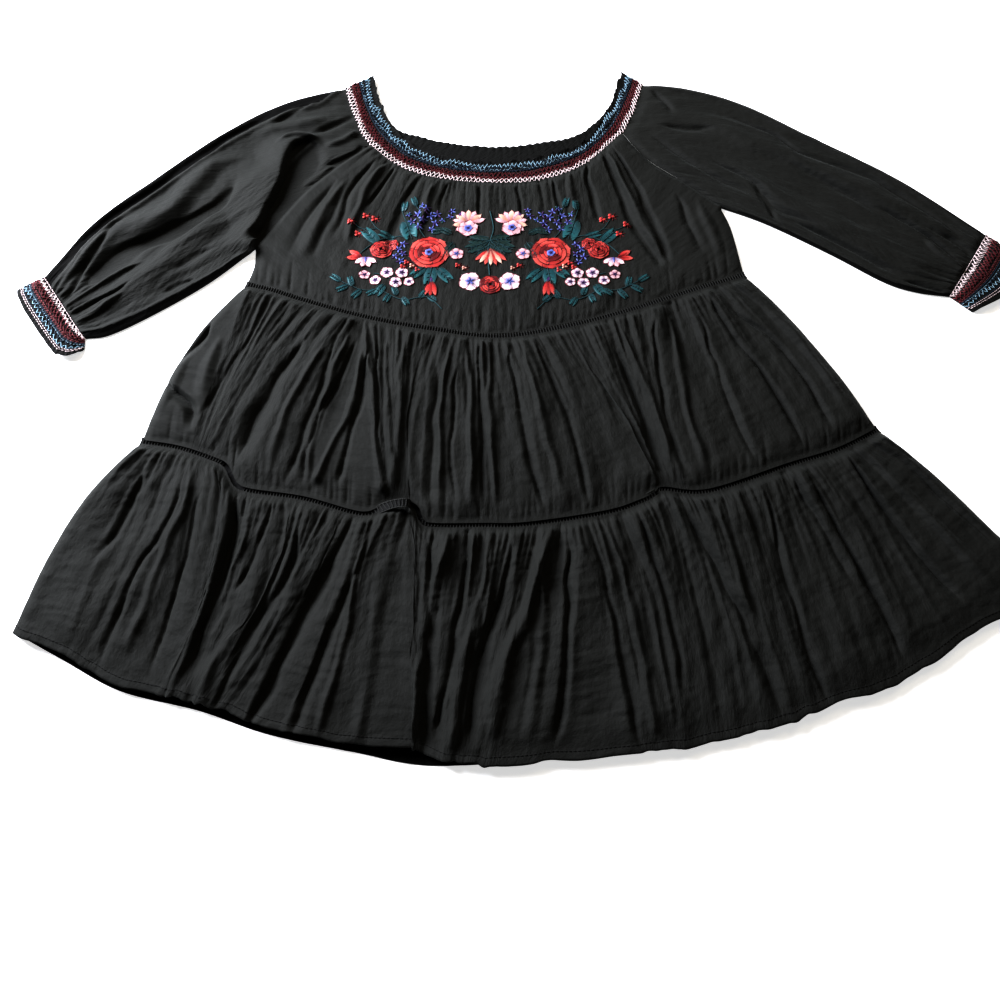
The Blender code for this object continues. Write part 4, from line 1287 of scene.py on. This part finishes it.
def build_cuff(name, wrist, end, node):
    """A smocked cuff: a flattened ring, threads on its front."""
    columns, rows = 120, 40
    plan, down = between(line(wrist, columns), line(end, columns), rows)
    across = steps_along(plan, 1)
    steps = round(across[0, -1] / CUFF_STITCH)
    phase, rib = smocking(down, steps, columns)
    edge = np.minimum(across, across[:, -1:] - across)
    frill = ease((down - 0.93) / 0.07)
    z = FRONT_TOP + 0.9 + 0.8 * rib * (1 - frill) + 0.5 * frill * noise(phase, down, 0.4, 1, 91)
    z = z + 4.5 * ease(edge / 15) * ease(down * 3)
    z = TUBE_EDGE + (z - TUBE_EDGE) * round_edge(edge, 7.0)
    z = z + 0.6 * noise(across, down * 35, 9, 40, 93) * ease(edge / 5)
    front = settled(plan[..., 0], plan[..., 1], z)
    points = laid_tube(front, 30)
    around = np.linspace(0, 0.3, points.shape[1])[None, :] * np.ones((rows + 1, 1))
    uv = np.stack([around, np.broadcast_to(down * 0.035, around.shape)], axis=-1)
    cuff = shell(name, points, uv, BAND, "smocked", node, wrap=True)
    band_threads(name, front, steps, CUFF_ROWS)
    return cuff


def build_sleeves():
    top, low = SLEEVE_TOP_LEFT, SLEEVE_LOW_LEFT
    made = build_sleeve(
        "left_sleeve", RAGLAN_LEFT, NECK_SEAM_LEFT[::-1], top, low, 1, SLEEVE_LEFT_CREASES, 503
    )
    made = build_cuff("left_cuff", [low[-1], top[-1]], CUFF_LEFT_SHOWN, "cuff_left")
    top, low = SLEEVE_TOP_RIGHT, SLEEVE_LOW_RIGHT
    made = build_sleeve(
        "right_sleeve", RAGLAN_RIGHT, NECK_SEAM_RIGHT, top, low, -1, SLEEVE_RIGHT_CREASES, 521
    )
    made = build_cuff("right_cuff", [low[-1], top[-1]], CUFF_RIGHT_END, "cuff_right")


def build_stitches(points, climb):
    """The row of stitches along the front hem."""
    patches = Patches()
    row = TUCK_ROWS + int(np.argmax(climb[:, 200] > HEM_DEPTH))
    stitch_line = points[row]
    reach = walked(stitch_line)
    at = 3.0
    while at < reach[-1] - 4:
        spots = np.linspace(at, at + 2.6, 4)
        path = np.stack([np.interp(spots, reach, stitch_line[:, k]) for k in range(3)], axis=1)
        path[:, 2] += (0.05, 0.35, 0.35, 0.05)
        patches.add(*tube(path, 0.32, 5), wrap=True)
        at += 3.7
    own(patches.make("hem_stitches", BLACK_THREAD), "rayon")


def neighbours(field):
    """The field moved by one cell each way, nine in all."""
    padded = np.pad(field, 1, mode="edge")
    rows, columns = field.shape
    return [padded[a : a + rows, b : b + columns] for a in range(3) for b in range(3)]


class Floss:
    """Embroidery on the bodice, laid over a smoothed map of its height."""

    def __init__(self, cloth):
        self.box = (-190, 185, 455, 645)
        self.step = 1.5
        tree = BVHTree.FromObject(cloth, bpy.context.evaluated_depsgraph_get())
        xs = np.arange(self.box[0], self.box[1], self.step)
        ys = np.arange(self.box[2], self.box[3], self.step)
        heights = np.full((len(ys), len(xs)), 5.0)
        for j, y in enumerate(ys):
            for i, x in enumerate(xs):
                start = Vector(((x - MIDDLE[0]) * MM, (y - MIDDLE[1]) * MM, 0.1))
                hit = tree.ray_cast(start, Vector((0, 0, -1)))
                if hit[0] is not None:
                    heights[j, i] = hit[0].z / MM
        smooth = heights.copy()
        for _ in range(3):
            smooth = sum(neighbours(smooth)) / 9
        top = np.max(neighbours(heights), axis=0)
        self.heights = np.maximum(smooth, 0.75 * top + 0.25 * smooth)
        self.sets = {}

    def lift(self, x, y):
        column = (x - self.box[0]) / self.step
        row = (y - self.box[2]) / self.step
        return on_grid(self.heights[..., None], row, column)[..., 0]

    def patches(self, look):
        return self.sets.setdefault(look.name, (look, Patches()))[1]

    def petal(self, look, x, y, angle, length, width, full=1.3, high=0.6, layer=0.0, edge=None):
        """A petal or leaf of laid strands, from its foot at (x, y)."""
        strands = max(3, round(width / 1.0))
        across = np.linspace(-1, 1, strands * 2 + 1)[None, :]
        along = np.linspace(0, 1, max(5, round(length / 2.2)) + 1)[:, None]
        half = width / 2 * np.sin(math.pi * along**full) ** 0.72
        lx = length * along * (1 - 0.05 * across**2)
        ly = half * across
        turn = math.radians(angle)
        px = x + lx * math.cos(turn) - ly * math.sin(turn)
        py = y + lx * math.sin(turn) + ly * math.cos(turn)
        dome = (1 - across**2) * np.sin(math.pi * np.clip(along, 0.02, 0.98)) ** 0.5
        ribs = np.abs(np.cos(math.pi * strands * (across + 1) / 2))
        z = self.lift(px, py) + 0.1 + layer + high * dome + 0.3 * ribs
        z = z - 0.45 * (np.abs(across) > 0.999)
        uv = np.stack([ly * MM, np.broadcast_to(along, ly.shape)], axis=-1)
        self.patches(look).add(np.stack([px, py, z], axis=-1), uv)
        if edge is not None:
            rim = np.concatenate([np.stack([px, py], -1)[1:, 0], np.stack([px, py], -1)[-2:0:-1, -1]])
            lifted = np.concatenate([z[1:, 0], z[-2:0:-1, -1]]) + 0.35
            self.patches(edge).add(*tube(np.column_stack([rim, lifted]), 0.42, 4), wrap=True)

    def stem(self, look, points, radius=0.7, layer=0.0):
        path = line(points, max(3, 4 * (len(points) - 1)))
        z = self.lift(path[:, 0], path[:, 1]) + 0.3 + layer
        self.patches(look).add(*tube(np.column_stack([path, z]), radius, 5, 0.7), wrap=True)

    def blossom(self, look, heart, x, y, radius, petals, start=0.0, layer=0.0, edge=None, fill=0.95):
        for k in range(petals):
            angle = start + 360.0 * k / petals
            wide = 2 * radius * math.sin(math.pi / petals) * fill
            self.petal(look, x, y, angle, radius, wide, 1.5, 0.5, layer + 0.1 * (k % 2), edge)
        for k in range(5):
            angle = start + 36 + 72.0 * k
            self.petal(heart, x, y, angle, radius * 0.42, radius * 0.2, 1.0, 0.4, layer + 0.7)

    def rose(self, looks, edge, x, y, radius, start=0.0):
        rings = ((1.0, 7, 0.0), (0.78, 6, 0.45), (0.56, 5, 0.8), (0.34, 4, 1.1))
        for ring, (size, petals, layer) in enumerate(rings):
            for k in range(petals):
                look = looks[(ring + k % 2) % len(looks)]
                angle = start + 31 * ring + 360.0 * k / petals
                foot = radius * size * 0.25
                px = x + foot * math.cos(math.radians(angle))
                py = y + foot * math.sin(math.radians(angle))
                reach = radius * size * 0.75
                wide = 2 * radius * size * math.sin(math.pi / petals) * 1.05
                self.petal(look, px, py, angle, reach, wide, 1.8, 0.5, layer + 0.12 * (k % 2), edge)

    def florets(self, look, other, points, size, rng):
        """A loose cluster of small star flowers."""
        for number, (x, y) in enumerate(points):
            petals = 5
            start = rng.uniform(0, 72)
            for k in range(petals):
                shade = other if (k + number) % 3 == 0 else look
                reach = size * rng.uniform(0.8, 1.15)
                self.petal(shade, x, y, start + 72.0 * k, reach, size * 0.42, 1.1, 0.4, 0.2 * (number % 3))

    def leaf(self, look, vein, x, y, angle, length, width):
        """A leaf of two halves with a middle vein and side veins."""
        turn = math.radians(angle)
        for side in (-1, 1):
            shift = side * width * 0.2
            lx = x - shift * math.sin(turn)
            ly = y + shift * math.cos(turn)
            self.petal(look, lx, ly, angle + side * 4, length, width * 0.56, 0.85, 0.4, 0.0, vein)
        end = (x + length * 0.92 * math.cos(turn), y + length * 0.92 * math.sin(turn))
        self.stem(vein, [(x, y), ((x + end[0]) / 2, (y + end[1]) / 2), end], 0.4, 0.6)
        for k in (0.3, 0.5, 0.7):
            fx = x + k * length * math.cos(turn)
            fy = y + k * length * math.sin(turn)
            for side in (-1, 1):
                way = turn + side * 0.9
                out = width * 0.34
                far = (fx + out * math.cos(way), fy + out * math.sin(way))
                self.stem(vein, [(fx, fy), far], 0.3, 0.6)

    def berry(self, look, rays, x, y, radius):
        for k in range(7):
            self.petal(rays, x, y, 51.4 * k + 10, radius * 2.0, radius * 0.42, 1.0, 0.3)
        for k in range(3):
            size = (radius * 1.5, radius * 1.3)
            self.petal(look, x - radius * 0.75, y, 120 * k, *size, 1.0, 0.7, 0.3 + 0.2 * k)

    def finish(self):
        for number, (look, patches) in enumerate(self.sets.values()):
            own(patches.make(f"embroidery_{number + 1}", look), "rayon")


def build_embroidery(cloth):
    """A generic flower spray, in two halves that mirror each other loosely."""
    floss = Floss(cloth)
    rng = random.Random(77)
    coral = satin_stitch("coral floss", (0.26, 0.010, 0.012), (0.56, 0.055, 0.050), (0.72, 0.17, 0.14))
    red = satin_stitch("red floss", (0.12, 0.005, 0.009), (0.36, 0.020, 0.022), (0.54, 0.07, 0.06))
    deep = satin_stitch("deep red floss", (0.05, 0.003, 0.006), (0.13, 0.008, 0.012), (0.24, 0.020, 0.024))
    peach = satin_stitch("peach floss", (0.40, 0.12, 0.10), (0.64, 0.38, 0.30), (0.80, 0.64, 0.52))
    pink = satin_stitch("pink floss", (0.34, 0.14, 0.20), (0.66, 0.42, 0.46), (0.80, 0.62, 0.66))
    white = satin_stitch("white pink floss", (0.16, 0.10, 0.28), (0.70, 0.58, 0.64), (0.84, 0.76, 0.78))
    teal = satin_stitch("teal floss", (0.008, 0.058, 0.066), (0.018, 0.105, 0.120), (0.045, 0.20, 0.21))
    moss = satin_stitch("dark green floss", (0.006, 0.022, 0.020), (0.010, 0.038, 0.034),
        (0.020, 0.062, 0.056))
    violet = satin_stitch("violet blue floss", (0.05, 0.06, 0.24), (0.13, 0.16, 0.46), (0.30, 0.34, 0.64))
    plum = satin_stitch("plum floss", (0.03, 0.010, 0.055), (0.08, 0.028, 0.14), (0.16, 0.08, 0.27))
    middle = -4.0

    # The middle column
    floss.stem(TEAL_THREAD, [(middle, 604), (middle + 4, 578), (middle - 2, 550), (middle, 515)], 0.8)
    for angle, length in ((205, 30), (-25, 30), (228, 27), (-48, 27), (172, 24), (8, 24)):
        floss.leaf(moss, TEAL_THREAD, middle, 562, angle, length, 11)
    for side, tilt in ((-1, 118), (1, 62)):
        cx = middle + side * 23
        for k in range(9):
            look = peach if k % 2 else pink
            floss.petal(look, cx, 588, tilt - 100 + 25 * k, 19, 7.5, 1.4, 0.6, 0.12 * (k % 2), PINK_THREAD)
        floss.blossom(pink, violet, cx + side * 1, 580, 12, 6, 20, 0.5, PINK_THREAD)
        floss.blossom(violet, plum, cx + side * 1, 580, 5, 5, 0, 1.3)
        floss.blossom(white, violet, middle + side * 21, 506, 13, 5, 10 + 20 * side, 0.0, PINK_THREAD, 0.85)
        floss.petal(plum, middle + side * 36, 592, 90 + side * 20, 12, 4)
        floss.florets(violet, plum, [(middle + side * 44, 598), (middle + side * 42, 606)], 4.5, rng)
        floss.berry(coral, deep, middle + side * 33, 528, 2.4)
        floss.berry(peach, deep, middle + side * 26, 524, 2.2)
    for k in range(7):
        look = peach if k % 2 else coral
        floss.petal(look, middle + 1, 552, 225 + 15 * k, 25, 6.5, 1.2, 0.6, 0.1 * (k % 2), RED_THREAD)
    floss.leaf(moss, TEAL_THREAD, middle, 556, 215, 16, 7)
    floss.leaf(moss, TEAL_THREAD, middle, 556, -35, 16, 7)
    floss.rose((red, deep, coral), RED_THREAD, middle + 1, 502, 13, 10)

    for side in (-1, 1):

        def at(x, y):
            return middle + side * x, y

        def turned(angle):
            return angle if side > 0 else 180 - angle

        def leaf(look, x, y, angle, length, width):
            floss.leaf(look, TEAL_THREAD, *at(x, y), turned(angle), length, width)

        def stem(radius, *points):
            floss.stem(TEAL_THREAD, [at(*p) for p in points], radius)

        # A round rose with leaves
        x, y = at(66, 546)
        leaf(teal, 62, 526, -82, 26, 13)
        leaf(teal, 56, 524, -130, 24, 11)
        leaf(teal, 70, 526, -45, 20, 10)
        floss.rose((coral, red, coral, deep), RED_THREAD, x, y, 23, 15 if side > 0 else 40)
        floss.blossom(violet, plum, x, y - 1, 5, 5, 0, 1.7)
        # A forked stem with blue florets
        stem(0.5, (70, 566), (78, 580), (76, 598), (84, 616))
        stem(0.5, (78, 580), (92, 590), (98, 608))
        spots = [(60, 588), (66, 597), (74, 590), (70, 605), (80, 600), (86, 590), (78, 581),
            (64, 579), (58, 600)]
        floss.florets(violet, plum, [at(*p) for p in spots], 5.4, rng)
        spots = [(52, 592), (76, 610), (90, 600)]
        floss.florets(violet, teal, [at(*p) for p in spots], 4.2, rng)
        leaf(teal, 94, 592, -108, 30, 17)
        leaf(teal, 96, 606, 95, 15, 7)
        leaf(teal, 82, 612, 70, 14, 6)
        leaf(moss, 50, 578, -10, 16, 8)
        leaf(moss, 42, 572, 30, 14, 7)
        leaf(moss, 40, 560, -60, 24, 10)
        floss.blossom(pink, violet, *at(36, 544), 8.5, 5, 30, 0.2, PINK_THREAD, 0.85)
        # White blossoms low on the side, and florets by the rose
        spots = [(94, 558), (99, 551), (94, 544), (102, 541), (96, 534)]
        floss.florets(violet, plum, [at(*p) for p in spots], 5.2, rng)
        stem(0.5, (98, 488), (100, 504), (112, 514), (124, 518))
        for bx, by, size in ((94, 518, 7.5), (110, 518, 7.8), (100, 505, 7.2), (122, 508, 6.8),
            (86, 506, 6.2)):
            floss.blossom(white, plum, *at(bx, by), size, 5, rng.uniform(0, 72), 0.0, PINK_THREAD, 0.9)
        floss.blossom(pink, plum, *at(134, 516), 6.8, 5, 20, 0.0, RED_THREAD, 0.9)
        leaf(teal, 112, 502, -60, 18, 9)
        # A side branch with coral buds
        stem(0.6, (88, 566), (106, 570), (128, 558), (142, 542))
        leaf(teal, 122, 560, 48, 27, 12)
        leaf(teal, 104, 568, 20, 20, 8)
        floss.rose((red, coral, red), RED_THREAD, *at(118, 550), 13, 20)
        floss.rose((red, coral), RED_THREAD, *at(108, 558), 9, 50)
        for angle in (32, -6):
            floss.petal(coral, *at(138, 540), turned(angle), 18, 7.5, 1.2, 0.5, 0.0, RED_THREAD)
            floss.petal(red, *at(139, 540), turned(angle), 12, 3.5, 1.2, 0.4, 0.4)
        for angle, look in ((-40, white), (-75, pink), (-110, white), (-145, white)):
            floss.petal(look, *at(134, 540), turned(angle), 15, 7, 1.3, 0.5, 0.1, PINK_THREAD)
        floss.petal(violet, *at(134, 540), turned(-90), 8, 3, 1.0, 0.4, 0.6)
        # Berries on a stem that turns up, and a leaf spray at the low corner
        stem(0.45, (108, 570), (124, 580), (134, 596))
        stem(0.45, (124, 580), (140, 580), (150, 586))
        for bx, by in ((136, 598), (126, 594), (152, 587), (143, 573)):
            floss.berry(coral, deep, *at(bx, by), 3.0)
        stem(0.45, (118, 494), (138, 496), (158, 506))
        for lx, ly, angle in ((136, 496, -50), (146, 499, 75), (150, 501, -30), (158, 506, 35)):
            leaf(teal, lx, ly, angle, 15, 6)
        # Berries under the rose
        for bx, by in ((88, 532), (82, 527), (92, 526), (76, 522)):
            floss.berry(peach if bx % 4 else coral, deep, *at(bx, by), 2.5)
        # A hanging bud
        stem(0.55, (112, 492), (90, 482), (66, 486), (50, 470))
        for angle, look in ((-88, red), (-72, coral), (-104, coral)):
            floss.petal(look, *at(62, 508), turned(angle), 22, 6.5, 1.0, 0.5, 0.1, RED_THREAD)
        floss.petal(plum, *at(62, 504), turned(85), 10, 5, 0.8)
        for lx, ly, angle in ((92, 486, -120), (106, 490, -70), (120, 496, -35), (74, 484, 120),
            (98, 488, 70)):
            leaf(teal, lx, ly, angle, 13, 6)
        leaf(teal, 56, 480, 40, 12, 6)
    floss.finish()


def build_stage():
    mesh = bpy.data.meshes.new("floor")
    half = 6.0
    corners = [(-half, -half, 0), (half, -half, 0), (half, half, 0), (-half, half, 0)]
    mesh.from_pydata(corners, [], [(0, 1, 2, 3)])
    floor = bpy.data.objects.new("floor", mesh)
    bpy.context.scene.collection.objects.link(floor)
    made, tree, shader = new_material("pale floor")
    where = add_node(tree, "ShaderNodeTexCoord")
    grain = noise_node(tree, where.outputs["Object"], 60.0, 3.0)
    tree.links.new(mixed(tree, grain, (0.90, 0.90, 0.90), (0.93, 0.93, 0.93)), shader.inputs["Base Color"])
    shader.inputs["Roughness"].default_value = 0.9
    shader.inputs["Emission Color"].default_value = (1.0, 1.0, 1.0, 1.0)
    shader.inputs["Emission Strength"].default_value = 0.72
    made.cycles.emission_sampling = "NONE"
    mesh.materials.append(made)

    world = bpy.data.worlds.new("room")
    world.use_nodes = True
    world.node_tree.nodes["Background"].inputs["Color"].default_value = (1.0, 0.98, 0.94, 1.0)
    world.node_tree.nodes["Background"].inputs["Strength"].default_value = 0.03
    bpy.context.scene.world = world

    add_light("window", (-1.15, 0.62, 0.85), 0.9, 80.0, (0.96, 0.98, 1.06))
    add_light("room", (0.6, 0.9, 1.8), 1.0, 8.5, (1.15, 1.0, 0.76))

    camera = bpy.data.cameras.new("camera")
    camera.lens = 34.56
    camera.sensor_width = 36.0
    view = bpy.data.objects.new("camera", camera)
    view.location = (-0.0265, -0.5835, 0.8109)
    view.rotation_euler = (math.radians(27.13), 0.0, 0.0)
    bpy.context.scene.collection.objects.link(view)
    bpy.context.scene.camera = view
    bpy.context.scene.view_settings.view_transform = "Standard"
    bpy.context.scene.view_settings.gamma = 0.66


def add_light(name, place, size, power, colour):
    lamp = bpy.data.lights.new(name, "AREA")
    lamp.size = size
    lamp.energy = power
    lamp.color = colour
    made = bpy.data.objects.new(name, lamp)
    made.location = place
    aim = Vector((0.05, 0.0, 0.0)) - Vector(place)
    made.rotation_euler = aim.to_track_quat("-Z", "Y").to_euler()
    bpy.context.scene.collection.objects.link(made)


build_stage()
bodice = build_bodice()
hem_points, hem_climb = build_tiers()
build_trims()
build_neckbands()
build_sleeves()
build_stitches(hem_points, hem_climb)
build_embroidery(bodice)
